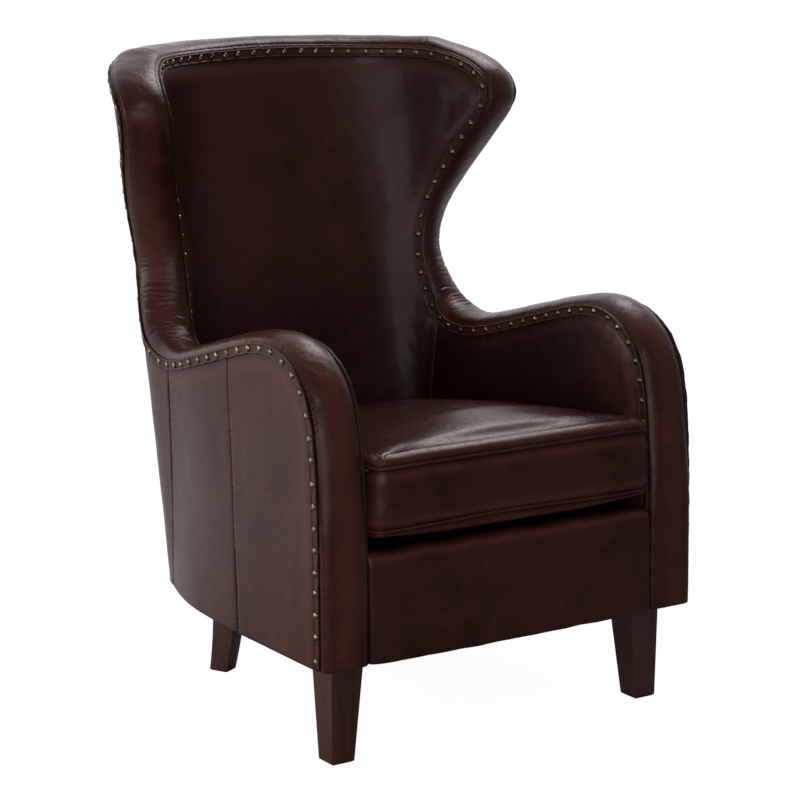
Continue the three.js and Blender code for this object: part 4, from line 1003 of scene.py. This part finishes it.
outer_rows = 100
middle_left = resampled(seam_line(MIDDLE_SEAM_FOOT, BODY_HEIGHT, MIDDLE_SEAM, -GAP), outer_rows)
middle_right = resampled(seam_line(MIDDLE_SEAM_FOOT, BODY_HEIGHT, MIDDLE_SEAM, GAP), outer_rows)
rear_end = resampled(seam_line(OUTER_SEAM_FOOT, BODY_HEIGHT, OUTER_SEAM, -GAP), outer_rows)
front_top = resampled(edge_line(SHOULDER, MIDDLE_SEAM), 70)
front_top[-1] = middle_left[-1]
rear_top = resampled(edge_line(MIDDLE_SEAM, OUTER_SEAM), 60)
rear_top[0], rear_top[-1] = middle_right[-1], rear_end[-1]
front_grid = arm_grid(resampled(front_line(BODY_HEIGHT), outer_rows), middle_left, front_top, BODY_HEIGHT)
rear_grid = arm_grid(middle_right, rear_end, rear_top, BODY_HEIGHT)
for part, grid, seams, seed in (
    ("front", front_grid, [MIDDLE_SEAM_POINTS], 61), ("rear", rear_grid, [MIDDLE_SEAM_POINTS, OUTER_SEAM_POINTS], 71),
):
    right = panel(f"outside_arm_{part}_panel_right", grid, 1, 0, seams, 1.4, 10, 0.35, seed)
    left = mirror(right, f"outside_arm_{part}_panel_left")
    for piece, sign in ((right, "right"), (left, "left")):
        dress(piece, HIDE, "chair", "leather", f"outside_arm_{part}_{sign}")


# Front panel over the rail
def front_cover():
    half_width, radius = 264.2, 19.0
    columns = 150
    x = np.linspace(-1, 1, columns)
    profile = []
    for z in np.linspace(BODY_HEIGHT + 4, PANEL_TOP - radius, 40):
        profile.append((0.0, z))
    for turn in np.linspace(0, math.pi / 2, 9)[1:]:
        profile.append((radius * (1 - math.cos(turn)), PANEL_TOP - radius * (1 - math.sin(turn))))
    profile.append((22.0, PANEL_TOP))
    profile = [(6.0, BODY_HEIGHT + 0.2), (2.0, BODY_HEIGHT + 0.5), (0.6, BODY_HEIGHT + 1.6)] + profile
    inner = np.array(profile)
    grid = np.zeros((len(inner), columns, 3))
    edge = 1 - np.abs(x)
    tuck = 6 * np.exp(-(edge * half_width / 2.3) ** 1.15)
    crown = 1.6 * (1 - x ** 4)
    bottom_wave = 0.9 * ripple((x * half_width)[:, None], 90, 80)
    for j, (depth, z) in enumerate(inner):
        share = (z - BODY_HEIGHT) / (PANEL_TOP - BODY_HEIGHT)
        belly = crown * math.sin(math.pi * min(1, share)) ** 0.6
        lift = 1.2 * ripple((x * half_width)[:, None], 120, 81) * smooth(share, 0.75, 1)
        grid[j, :, 0] = x * half_width
        lean = 5.5 * (1 - share)
        grid[j, :, 1] = PANEL_FRONT + 2.6 - lean + depth + tuck * (1 - depth / 40) - belly
        sag = 2.6 * (1 - x ** 4)
        grid[j, :, 2] = z + lift + (0.6 * bottom_wave - sag) * (1 - share) ** 3
    wobble = 0.35 * ripple(grid, 60, 82) + 0.2 * ripple(grid, 22, 83)
    grid[..., 1] += wobble * smooth(edge * half_width, 0, 20)[None, :]
    back = grid.copy()
    back[..., 1] = EDGE_FRONT_DEPTH
    away = edge * half_width
    # Painted shade at the tucked ends and a painted shadow along the top, under the cushion's overhang
    painted_shade_and_dirt = np.exp(-(away / 3.5)[None, :]) + 0 * grid[..., 0]
    painted_shade_and_dirt = np.maximum(painted_shade_and_dirt, 0.6 * smooth(inner[:, 1], PANEL_TOP - 4, PANEL_TOP)[:, None])
    wear = 0.6 * np.exp(-((inner[:, 1] - (PANEL_TOP - 9)) / 5) ** 2)[:, None] + 0 * painted_shade_and_dirt
    return slab("front_cover", grid, back, {"painted_shade_and_dirt": np.clip(painted_shade_and_dirt, 0, 1), "wear": np.clip(wear, 0, 1)})


cover = dress(front_cover(), HIDE, "chair", "leather", "front_panel")


# Seat cushion
def seat_outline(half_width, front, bow, inset, height, pitch):
    """Right half of the seat's outline from the middle of the front to the middle of the back."""
    t = np.linspace(0, 1, 60)
    line = np.stack([(half_width - CUSHION_CORNER) * t, front - bow * (1 - t ** 2)], 1)
    turn = math.pi / 2 * (np.linspace(0, 1, 30) - 1)
    centre = np.array([half_width - CUSHION_CORNER, front + CUSHION_CORNER])
    bend = np.stack([np.cos(turn), np.sin(turn)], 1) * CUSHION_CORNER + centre
    start = share_at_depth(front + 3 * CUSHION_CORNER, height)[0]
    share = mix(start, 1, np.linspace(0, 1, 200))
    side = wall(share, height, -half_wall(height) - inset)[:, :2]
    draw = half_width - 3 * np.sin(np.pi * np.linspace(0, 1, 200))
    side[:, 0] = np.minimum(side[:, 0], draw)
    side[-1, 0] = 0
    points = np.concatenate([line, bend, side])
    keep = np.concatenate([[True], np.linalg.norm(np.diff(points, axis=0), axis=1) > 1e-6])
    points = points[keep]
    lengths = np.concatenate([[0], np.cumsum(np.linalg.norm(np.diff(points, axis=0), axis=1))])
    at = np.linspace(0, lengths[-1], int(lengths[-1] / pitch) + 1)
    return np.stack([np.interp(at, lengths, points[:, k]) for k in (0, 1)], 1)


def whole_outline(half):
    return np.concatenate([half, half[-2:0:-1] * (-1, 1)])


def outline_normals(points):
    along = unit(np.roll(points, -1, 0) - np.roll(points, 1, 0))
    return np.stack([along[:, 1], -along[:, 0]], 1)


def spread(count, denser=0.0):
    """Shares from 0 to 1, denser towards both ends."""
    t = np.linspace(0, 1, count)
    return mix(t, (1 - np.cos(np.pi * t)) / 2, denser)


def seat_grid(outline_half, columns, rows, denser=0.0):
    """Grid over the seat between its outline's four corners."""
    normals = outline_normals(whole_outline(outline_half))[:len(outline_half)]
    angle = np.degrees(np.arctan2(normals[:, 1], normals[:, 0]))
    front_corner = int(np.argmin(np.abs(angle[:len(angle) // 2] + 45)))
    later = np.arange(len(angle)) > len(angle) // 2
    back_corner = int(np.argmin(np.where(later, np.abs(angle - 42), 999)))

    def even(points, count):
        lengths = np.concatenate([[0], np.cumsum(np.linalg.norm(np.diff(points, axis=0), axis=1))])
        at = lengths[-1] * spread(count, denser)
        return np.stack([np.interp(at, lengths, points[:, k]) for k in (0, 1)], 1)

    mirrored = outline_half * (-1, 1)
    bottom = even(np.concatenate([mirrored[front_corner:0:-1], outline_half[:front_corner + 1]]), columns)
    top = even(np.concatenate([mirrored[back_corner:], outline_half[:back_corner - 1:-1][1:]]), columns)
    right = even(outline_half[front_corner:back_corner + 1], rows)
    left = right * (-1, 1)
    return patch(left, right, bottom, top)


# Section of the cushion's edges: places outwards from its outline and over the welt
TOP_LIP = ((-2.6, 0.6), (-0.8, 1.8), (0.4, 3.4), (0.2, 5.2), (-1.6, 7.0), (-5.2, 8.8), (-12.0, 10.6))
LIP_MORE_IN_FRONT = 0.75
LOW_LIP = ((-2.4, -1.0), (-0.2, -3.2), (0.7, -6.4), (-0.3, -9.8), (-3.0, -12.6), (-7.0, -14.4), (-12.0, -15.0))
SEAM_DEPTH = 4.0


def out_share(places, outline):
    """Share of the way from the middle of an outline to it."""
    middle = np.array([0, (outline[:, 1].min() + outline[:, 1].max()) / 2])
    around, away = outline - middle, places - middle
    angle = np.arctan2(around[:, 1], around[:, 0])
    radius = np.interp(np.arctan2(away[..., 1], away[..., 0]), *np.stack([angle, np.linalg.norm(around, axis=1)])[
        :, np.argsort(angle)], period=2 * math.pi)
    return np.clip(np.linalg.norm(away, axis=-1) / radius, 0, 1)


# Height of the foam core's crown over the upper welt, with the cover's thickness
CORE_LIFT = 7.5
CORE_CROWN = 16.0


def cushion_mesh():
    """Closed cushion from a top, a boxing and an underside that meet along the welts, with the seam places pinned."""
    columns, rows, denser = 75, 85, 0.6
    grid = seat_grid(CUSHION_OUTLINE, columns, rows, denser)
    border = ([(0, i) for i in range(columns)] + [(j, columns - 1) for j in range(1, rows)]
              + [(rows - 1, i) for i in range(columns - 2, -1, -1)] + [(j, 0) for j in range(rows - 2, 0, -1)])
    loop = np.array([grid[j, i] for j, i in border])
    normals = outline_normals(loop)
    if (normals * (loop - loop.mean(0))).sum() < 0:
        normals = -normals
    inset = loop + normals * TOP_LIP[-1][0]
    for (j, i), place in zip(border, inset):
        grid[j, i] = place
    grid = patch(grid[:, 0], grid[:, -1], grid[0], grid[-1])
    s = 2 * spread(columns, denser)[None, :] - 1
    t = 2 * spread(rows, denser)[:, None] - 1
    depth = grid[..., 1] - CUSHION_FRONT
    rising = 1 - np.exp(-(np.maximum(depth - 10, 0) / 48) ** 1.5)
    fullness = rising * np.exp(-(np.maximum(depth - 120, 0) / 125) ** 1.8) * np.cos(math.pi / 2 * s) ** 1.3
    lip = TOP_LIP[-1][1] * (1 + LIP_MORE_IN_FRONT * (1 - smooth(depth, 20, 100)))
    domed, crown = lip + 31 * fullness, CORE_LIFT + CORE_CROWN * (1 - out_share(grid, inset) ** 2.4)
    lift = (domed + crown + np.sqrt((domed - crown) ** 2 + 9)) / 2
    lift = mix(lip, lift, smooth(1 - out_share(grid, inset), 0, 0.1))
    points, pinned = [], []

    def sheet(height):
        start = len(points)
        points.extend(np.dstack([grid, height]).reshape(-1, 3).tolist())
        pinned.extend([0.0] * (rows * columns))
        return [start + j * columns + i for j, i in border]

    def ring(out, height, pin=0.0):
        start = len(points)
        places = loop + normals * np.reshape(out, (-1, 1))
        points.extend(np.hstack([places, height + np.zeros((len(loop), 1))]).tolist())
        pinned.extend([pin] * len(loop))
        return list(range(start, start + len(loop)))

    low = sheet(np.full(grid.shape[:2], max(LOWER_WELT + LOW_LIP[-1][1], UNDERSIDE)))
    faces = quads(rows, columns, low[0], flip=True)
    rings = [low] + [ring(out, LOWER_WELT + rise) for out, rise in LOW_LIP[-2::-1]]
    levels = 15
    for level in range(levels + 1):
        u = level / levels
        away = abs(2 * u - 1)
        bulge = (SEAM_DEPTH + 2.0 * (1 - away ** 4)) * (1 - away ** 9)
        rings.append(ring(bulge - SEAM_DEPTH, mix(LOWER_WELT, UPPER_WELT, u), float(level in (0, levels))))
    fuller = 1 + LIP_MORE_IN_FRONT * (1 - smooth(loop[:, 1:] - CUSHION_FRONT, 20, 100))
    rings += [ring(out, UPPER_WELT + rise * fuller) for out, rise in TOP_LIP[:-1]]
    top = sheet(UPPER_WELT + lift)
    faces += quads(rows, columns, top[0])
    rings.append(top)
    for a, b in zip(rings, rings[1:]):
        for k in range(len(border)):
            m = (k + 1) % len(border)
            faces.append([a[k], a[m], b[m], b[k]])
    return np.array(points), faces, np.array(pinned), loop, normals


def inflate(piece, pinned, pressure, frames, limit):
    """Cloth under pressure with its seams held, applied to the mesh."""
    group = piece.vertex_groups.new(name="seam")
    for value in (0.0, 1.0):
        chosen = [int(k) for k in np.nonzero(pinned == value)[0]]
        group.add(chosen, value, "REPLACE")
    rest = np.array([v.co for v in piece.data.vertices])
    cloth = piece.modifiers.new("cloth", "CLOTH")
    settings = cloth.settings
    settings.quality = 6
    settings.mass = 0.35
    settings.air_damping = 3.0
    settings.tension_stiffness = 28
    settings.compression_stiffness = 28
    settings.shear_stiffness = 12
    settings.bending_stiffness = 1.2
    settings.vertex_group_mass = "seam"
    settings.use_pressure = True
    settings.uniform_pressure_force = pressure
    settings.shrink_min = -0.002
    settings.effector_weights.gravity = 0
    cloth.collision_settings.use_collision = False
    scene = bpy.context.scene
    cloth.point_cache.frame_start, cloth.point_cache.frame_end = 1, frames
    for number in range(1, frames + 1):
        scene.frame_set(number)
    shaped = piece.evaluated_get(bpy.context.evaluated_depsgraph_get())
    moved = np.array([v.co for v in shaped.data.vertices])
    step = moved - rest
    size = np.linalg.norm(step, axis=1, keepdims=True)
    moved = rest + step * np.minimum(1, limit / np.maximum(size, 1e-9))
    piece.modifiers.remove(cloth)
    piece.vertex_groups.clear()
    piece.data.vertices.foreach_set("co", moved.astype(np.float32).ravel())
    piece.data.update()
    scene.frame_set(1)


def subdivide(piece):
    smoother = piece.modifiers.new("fine", "SUBSURF")
    smoother.levels = smoother.render_levels = 1
    finer = bpy.data.meshes.new_from_object(piece.evaluated_get(bpy.context.evaluated_depsgraph_get()))
    piece.modifiers.clear()
    piece.data = finer


# Folds from the cushion's front corners: direction from the corner in degrees, width, depth and reach
CORNER_FOLDS = ((28, 2.6, 2.2, 26), (52, 2.0, 1.5, 18), (74, 2.4, 1.9, 24), (97, 1.8, 1.1, 16), (8, 1.8, 1.0, 15))


def pucker_corners(points):
    """Short folds in the top of the cushion that run out from its two front corners."""
    shaped = points.copy()
    above = smooth(points[:, 2], UPPER_WELT + 2, UPPER_WELT + 7)
    for side in (1, -1):
        corner = np.array([side * (CUSHION_HALF_WIDTH - 5), CUSHION_FRONT + 5])
        away = points[:, :2] - corner
        for degrees, width, depth, reach in CORNER_FOLDS:
            turn = math.radians(degrees + 3 * side)
            along = away @ np.array([-side * math.cos(turn), math.sin(turn)])
            across = away @ np.array([side * math.sin(turn), math.cos(turn)])
            fade = smooth(along, -1, 6) * np.exp(-(np.maximum(along, 0) / reach) ** 2)
            shaped[:, 2] += above * fade * crease(across + 1.2 * np.sin(along / 5), width, depth)
    return shaped


def make_cushion():
    points, faces, pinned, loop, normals = cushion_mesh()
    seams = np.array([[*p, z] for p in loop for z in (LOWER_WELT, UPPER_WELT)])
    away = to_line(points, seams)
    run = np.arctan2(points[:, 1], points[:, 0])[:, None]
    pleats = np.abs(ripple(np.hstack([np.cos(run), np.sin(run)]), 0.07, 88))
    # Painted shade in the hollows along the welts
    painted_shade_and_dirt = np.clip(1.1 * np.exp(-(away / 5.0) ** 1.5), 0, 1)
    wear = np.clip(0.7 * np.exp(-((away - 13) / 7) ** 2) - 0.2 * pleats, 0, 1)
    piece = turn_out(mesh_object("seat_cushion", points, faces, {"painted_shade_and_dirt": painted_shade_and_dirt, "wear": wear}))
    inflate(piece, pinned, 4.0, 20, 0.003 * smooth(away, 4, 50)[:, None])
    subdivide(piece)
    place = np.array([v.co for v in piece.data.vertices]) * 1000 - (0, SHIFT, 0)
    place[:, 2] = np.maximum(place[:, 2], UNDERSIDE - 0.4)
    place = raked(pucker_corners(place)) + (0, SHIFT, 0)
    piece.data.vertices.foreach_set("co", (place * 0.001).astype(np.float32).ravel())
    return piece, loop, normals


CUSHION_OUTLINE = seat_outline(
    CUSHION_HALF_WIDTH, CUSHION_FRONT, CUSHION_BOW, CUSHION_INSET, LOWER_WELT - UNDERSIDE_DROP, 3.0)
CUSHION_BACK = CUSHION_OUTLINE[:, 1].max()


def rake_at(depth):
    return np.clip((depth - CUSHION_FRONT) / (CUSHION_BACK - CUSHION_FRONT), 0, 1) ** RAKE_POWER


def raked(points):
    """Points of the cushion, lowered towards the back."""
    rise = np.clip((points[..., 2] - LOWER_WELT) / (UPPER_WELT - LOWER_WELT), 0, 1)
    lowered = points.copy()
    lowered[..., 2] -= rake_at(points[..., 1]) * mix(UNDERSIDE_DROP, TOP_DROP, rise)
    corner = np.hypot(CUSHION_HALF_WIDTH - np.abs(points[..., 0]), points[..., 1] - CUSHION_FRONT)
    lowered[..., 2] -= CORNER_DROOP * rise * np.exp(-(corner / 60) ** 2)
    lowered[..., 2] += 0.45 * np.maximum(LOWER_WELT - points[..., 2], 0) * np.exp(-(corner / 80) ** 2)
    at_front = np.exp(-((points[..., 1] - CUSHION_FRONT) / 50) ** 2 - ((points[..., 0] + 50) / 130) ** 2)
    lowered[..., 2] += SEAM_ARCH * at_front * np.exp(-((points[..., 2] - LOWER_WELT) / 11) ** 2)
    lowered[..., 0] *= mix(1 + CUSHION_SPLAY, 1 - CUSHION_SPLAY, rise)
    return lowered


cushion, loop, loop_normals = make_cushion()
dress(cushion, HIDE, "cushion", "leather", "cushion_cover")


def make_welt(name, height, radius, seed):
    count, sides = len(loop), 12
    run = np.concatenate([[0], np.cumsum(np.linalg.norm(np.diff(loop, axis=0), axis=1))])
    circle = run / (run[-1] + np.linalg.norm(loop[0] - loop[-1])) * 2 * np.pi
    around = np.stack([np.cos(circle), np.sin(circle)], 1)
    lift = 0.8 * ripple(around, 0.9, seed)
    reach = 0.5 * ripple(around, 0.6, seed + 1)
    rings = np.zeros((count, sides, 3))
    for n in range(sides):
        turn = 2 * math.pi * n / sides
        out = radius * math.cos(turn) - 1.2 + reach
        rings[:, n, :2] = loop + loop_normals * out[:, None]
        rings[:, n, 2] = height + lift + radius * math.sin(turn)
    rings = raked(rings)
    angle = 2 * np.pi * np.arange(sides) / sides
    # Painted highlight along the welt's top and painted shade on its inner side and underside
    wear = 0.75 * np.exp(-((angle - 1.45) / 0.55) ** 2)[None, :] * (1 + 0.3 * ripple(around, 0.2, seed + 2))[:, None]
    painted_shade_and_dirt = np.clip((np.cos(angle) < -0.2) + 0.9 * (np.sin(angle) < -0.45), 0, 1)[None, :] + 0 * run[:, None]
    return tube(name, rings, {"painted_shade_and_dirt": painted_shade_and_dirt, "wear": wear}, closed=True)


for name, height, radius, seed in (("lower", LOWER_WELT, 2.6, 91), ("upper", UPPER_WELT, 3.4, 95)):
    dress(make_welt(f"welt_{name}", height, radius, seed), HIDE_BAND, "cushion", "leather", f"cushion_welt_{name}")


# Deck under the cushion
def make_deck():
    bottom = 304.6
    clearance = 3.5
    half_width = WALL_HALF_WIDTH - half_wall(bottom) - clearance
    half = seat_outline(half_width, EDGE_FRONT_DEPTH + clearance, 0, clearance, bottom, 4.0)
    columns, rows = 60, 66
    grid = seat_grid(half, columns, rows)
    s = np.linspace(-1, 1, columns)[None, :]
    t = np.linspace(-1, 1, rows)[:, None]
    crown = (1 - np.abs(s) ** 2.4) * (1 - np.abs(t) ** 2.4)
    edge = np.minimum(1 - np.abs(s), 1 - np.abs(t))
    z = bottom + 11 * smooth(edge, 0, 0.03) + 20.5 * crown
    z = z + 0.5 * ripple(grid, 60, 101) * smooth(edge, 0.02, 0.2)
    z = np.minimum(z, UNDERSIDE - 1.2)
    z = bottom + (z - bottom) * (1 - rake_at(grid[..., 1]) * UNDERSIDE_DROP / (UNDERSIDE - bottom))
    top = np.concatenate([grid, z[..., None]], -1)
    back = np.concatenate([grid, np.full((*grid.shape[:2], 1), bottom)], -1)
    return slab("seat_lining", top, back)


deck = dress(make_deck(), CLOTH, "chair", "lining_cloth", "seat_deck")


# Legs
def rounded_square(half_x, half_y, radius, steps=4):
    points = []
    for corner, (a, b) in enumerate(((1, 1), (-1, 1), (-1, -1), (1, -1))):
        for k in range(steps + 1):
            turn = math.pi / 2 * (corner + k / steps)
            points.append((a * (half_x - radius) + radius * math.cos(turn), b * (half_y - radius) + radius * math.sin(turn)))
    return np.array(points)


def leg(name, centre_at, size_at, angle):
    rings = []
    levels = [0.0, 0.004, 0.012] + list(np.linspace(0.02, 1, 30))
    for up in levels:
        chamfer = 2.2 * (1 - smooth(up, 0, 0.012))
        hx, hy = size_at(1 - up)
        shape = rounded_square(hx - chamfer, hy - chamfer, 2.6)
        c, s = math.cos(angle), math.sin(angle)
        x, y = centre_at(1 - up)
        rings.append(np.stack([x + shape[:, 0] * c + shape[:, 1] * s, y - shape[:, 0] * s + shape[:, 1] * c,
                               np.full(len(shape), LEG_TOP * up)], 1))
    return tube(name, np.array(rings))


front_leg = leg("leg_post_front_right", lambda t: (mix(280, 287, t), mix(-242, -249, t)),
                lambda t: (mix(58, 40, t) / 2, mix(58, 40, t) / 2), 0.0)
rear_leg = leg("leg_post_rear_right", lambda t: (mix(204, 208.5, t ** 1.8), mix(214, 235, t ** 1.8)),
               lambda t: (mix(36, 28, t ** 0.7) / 2, mix(55, 35, t ** 0.7) / 2), math.radians(27.5))
for piece, end in ((front_leg, "front"), (rear_leg, "rear")):
    other = mirror(piece, piece.name.replace("right", "left"))
    dress(piece, LEG_WOOD, "chair", "leg_wood", f"leg_{end}_right")
    dress(other, LEG_WOOD, "chair", "leg_wood", f"leg_{end}_left")


# Cloth under the seat
def make_dust_cloth():
    columns, rows = 70, 64
    t = np.linspace(0, 1, 200)
    line = wall(t, 162.0, DUST_INSET)[:, :2]
    front = EDGE_FRONT_DEPTH + 5
    line = line[line[:, 1] > front]
    side = np.concatenate([[[line[0, 0], front]], line])
    depth = np.linspace(front, line[-1, 1] - 0.5, rows)
    edge_x = np.interp(depth, side[:, 1], side[:, 0])
    x = np.linspace(-1, 1, columns)[None, :] * edge_x[:, None]
    y = np.broadcast_to(depth[:, None], x.shape)
    inner = np.clip(np.minimum((edge_x[:, None] - np.abs(x)) / 40, np.minimum((y - front) / 40, 1)), 0, 1)
    sag = -1.6 * smooth(inner, 0, 1) + 0.35 * ripple(np.stack([x, y], -1), 90, 111)
    top = np.stack([x, y, DUST_HEIGHT + 1.2 + np.minimum(sag, 0)], -1)
    back = top - (0, 0, 0.8)
    width, length = 2 * edge_x.max(), depth[-1] - depth[0]
    area = ((edge_x[1:] + edge_x[:-1]) * np.diff(depth)).sum()
    return slab("dust_cloth", top, back), width / 1000, length / 1000, area / 1e6


dust, dust_width, dust_length, dust_area = make_dust_cloth()
dress(dust, CLOTH, "chair", "lining_cloth", "dust_cover")


# Inner pieces
def pad_piece(name, grid, swelling, node):
    share, z = grid[..., 0], grid[..., 1]
    front = wall(share, z, -(half_wall(z) - 5.5 + swelling))
    back = wall(share, z, np.full(z.shape, -7.0))
    piece = dress(slab(name, front, back), FOAM, "chair", "foam", node)
    return piece


def shrunk(grid, share=0.035):
    """Grid pulled in from its borders."""
    rows, columns = grid.shape[:2]
    keep_r, keep_c = max(1, int(rows * share)), max(1, int(columns * share))
    return grid[keep_r:-keep_r, keep_c:-keep_c]


pad_half = back_half(INNER_SEAM_FOOT, INNER_SEAM, SEAT_LINE_HEIGHT, 80, 30, 4)
pad_grid = shrunk(both_halves(pad_half), 0.06)
pad_swell = 0.8 * BACK_SWELL * swell(pad_grid)
pad_piece("foam_back", pad_grid, pad_swell, "inside_back_pad")
arm_pad = shrunk(arm, 0.09)
pad_right = pad_piece("foam_arm_right", arm_pad, 0.6 * ARM_SWELL * swell(arm_pad), "inside_arm_pad_right")
pad_left = mirror(pad_right, "foam_arm_left")
dress(pad_left, FOAM, "chair", "foam", "inside_arm_pad_left")

for node, piece in nodes.items():
    if piece.hide_render:
        continue
    chosen = None
    if node.startswith(("front_post", "arm_rail", "wing_frame", "top_rail", "side_rail", "back_rail", "back_post",
                        "lumbar_rail", "front_rail", "corner_block")):
        chosen = FRAME_WOOD
    elif node.startswith("leg_bolt"):
        chosen = ZINC
    elif node.startswith("seat_spring"):
        chosen = STEEL
    elif node.startswith("back_strap"):
        chosen = WEBBING
    elif node == "cushion_core":
        chosen = FOAM
    elif node == "cushion_zip":
        chosen = BRASS
    if chosen:
        piece.data.materials.clear()
        piece.data.materials.append(chosen)


# Camera, studio and lights
camera_data = bpy.data.cameras.new("camera")
camera_data.sensor_width = 36
camera_data.lens = 116.226
camera_data.clip_end = 100
camera = bpy.data.objects.new("camera", camera_data)
bpy.context.scene.collection.objects.link(camera)
camera.location = (-2.2339, -3.3741 + SHIFT * 0.001, 1.3134)
target = Vector((-0.0090, 0.0001 + SHIFT * 0.001, 0.4764))
camera.rotation_mode = "QUATERNION"
camera.rotation_quaternion = (target - camera.location).to_track_quat("-Z", "Y")
bpy.context.scene.camera = camera

bpy.ops.mesh.primitive_plane_add(size=60, location=(0, 0, 0))
floor = bpy.context.active_object
floor.name = "floor"


def fade(tree, value, low, high, to_low, to_high):
    node = tree.nodes.new("ShaderNodeMapRange")
    node.interpolation_type = "SMOOTHSTEP"
    tree.links.new(value, node.inputs["Value"])
    for key, number in (("From Min", low), ("From Max", high), ("To Min", to_low), ("To Max", to_high)):
        node.inputs[key].default_value = number
    return node.outputs["Result"]


def floor_material():
    """Sweep of paper, white behind the chair and grey in front of it; the camera sees it white under the shadows."""
    material = bpy.data.materials.new("floor_white")
    material.use_nodes = True
    tree = material.node_tree
    tree.nodes.clear()
    output = tree.nodes.new("ShaderNodeOutputMaterial")
    place = tree.nodes.new("ShaderNodeTexCoord")
    apart = tree.nodes.new("ShaderNodeSeparateXYZ")
    tree.links.new(place.outputs["Object"], apart.inputs[0])
    diffuse = tree.nodes.new("ShaderNodeBsdfDiffuse")
    grey = tree.nodes.new("ShaderNodeCombineColor")
    shade = fade(tree, apart.outputs["Y"], -0.7, 1.1, 0.20, 0.74)
    for key in ("Red", "Green", "Blue"):
        tree.links.new(shade, grey.inputs[key])
    tree.links.new(grey.outputs[0], diffuse.inputs["Color"])
    seen = tree.nodes.new("ShaderNodeBsdfDiffuse")
    seen.inputs["Color"].default_value = (0.8, 0.8, 0.8, 1)
    white = tree.nodes.new("ShaderNodeEmission")
    white.inputs["Color"].default_value = (1, 1, 1, 1)
    white.inputs["Strength"].default_value = 1.16
    paper = tree.nodes.new("ShaderNodeMixShader")
    paper.inputs[0].default_value = 0.82
    tree.links.new(seen.outputs[0], paper.inputs[1])
    tree.links.new(white.outputs[0], paper.inputs[2])
    path = tree.nodes.new("ShaderNodeLightPath")
    mixer = tree.nodes.new("ShaderNodeMixShader")
    tree.links.new(path.outputs["Is Camera Ray"], mixer.inputs[0])
    tree.links.new(diffuse.outputs[0], mixer.inputs[1])
    tree.links.new(paper.outputs[0], mixer.inputs[2])
    tree.links.new(mixer.outputs[0], output.inputs[0])
    return material


floor.data.materials.append(floor_material())


def set_world():
    """Room that is bright behind the chair and dim in front of it, with a white background."""
    world = bpy.data.worlds.new("studio")
    bpy.context.scene.world = world
    world.use_nodes = True
    tree = world.node_tree
    tree.nodes.clear()
    output = tree.nodes.new("ShaderNodeOutputWorld")
    place = tree.nodes.new("ShaderNodeTexCoord")
    apart = tree.nodes.new("ShaderNodeSeparateXYZ")
    tree.links.new(place.outputs["Generated"], apart.inputs[0])
    room = tree.nodes.new("ShaderNodeBackground")
    tree.links.new(fade(tree, apart.outputs["Y"], -0.25, 0.85, 0.15, 0.95), room.inputs["Strength"])
    room.inputs["Color"].default_value = (1, 1, 1, 1)
    seen = tree.nodes.new("ShaderNodeBackground")
    seen.inputs["Color"].default_value = (1, 1, 1, 1)
    seen.inputs["Strength"].default_value = 1.0
    path = tree.nodes.new("ShaderNodeLightPath")
    mixer = tree.nodes.new("ShaderNodeMixShader")
    tree.links.new(path.outputs["Is Camera Ray"], mixer.inputs[0])
    tree.links.new(room.outputs[0], mixer.inputs[1])
    tree.links.new(seen.outputs[0], mixer.inputs[2])
    tree.links.new(mixer.outputs[0], output.inputs[0])


set_world()


def area_light(name, place, aim, size, power):
    data = bpy.data.lights.new(name, "AREA")
    data.shape = "RECTANGLE"
    data.size, data.size_y = size
    data.energy = power
    light = bpy.data.objects.new(name, data)
    bpy.context.scene.collection.objects.link(light)
    light.location = place
    light.rotation_mode = "QUATERNION"
    light.rotation_quaternion = (Vector(aim) - light.location).to_track_quat("-Z", "Y")
    return light


area_light("left_box", (-3.0, 0.8, 0.9), (0, 0, 0.5), (2.6, 1.2), 38)
area_light("top_box", (1.5, 0.85, 2.9), (0, 0, 0.5), (1.2, 1.4), 29)
area_light("front_box", (-1.2, -3.4, 3.2), (0, 0, 0.5), (0.9, 0.9), 14)
area_light("fill_box", (-1.7, -3.1, 0.9), (0, 0, 0.5), (2.2, 1.4), 22)

bpy.context.scene.view_settings.view_transform = "Standard"
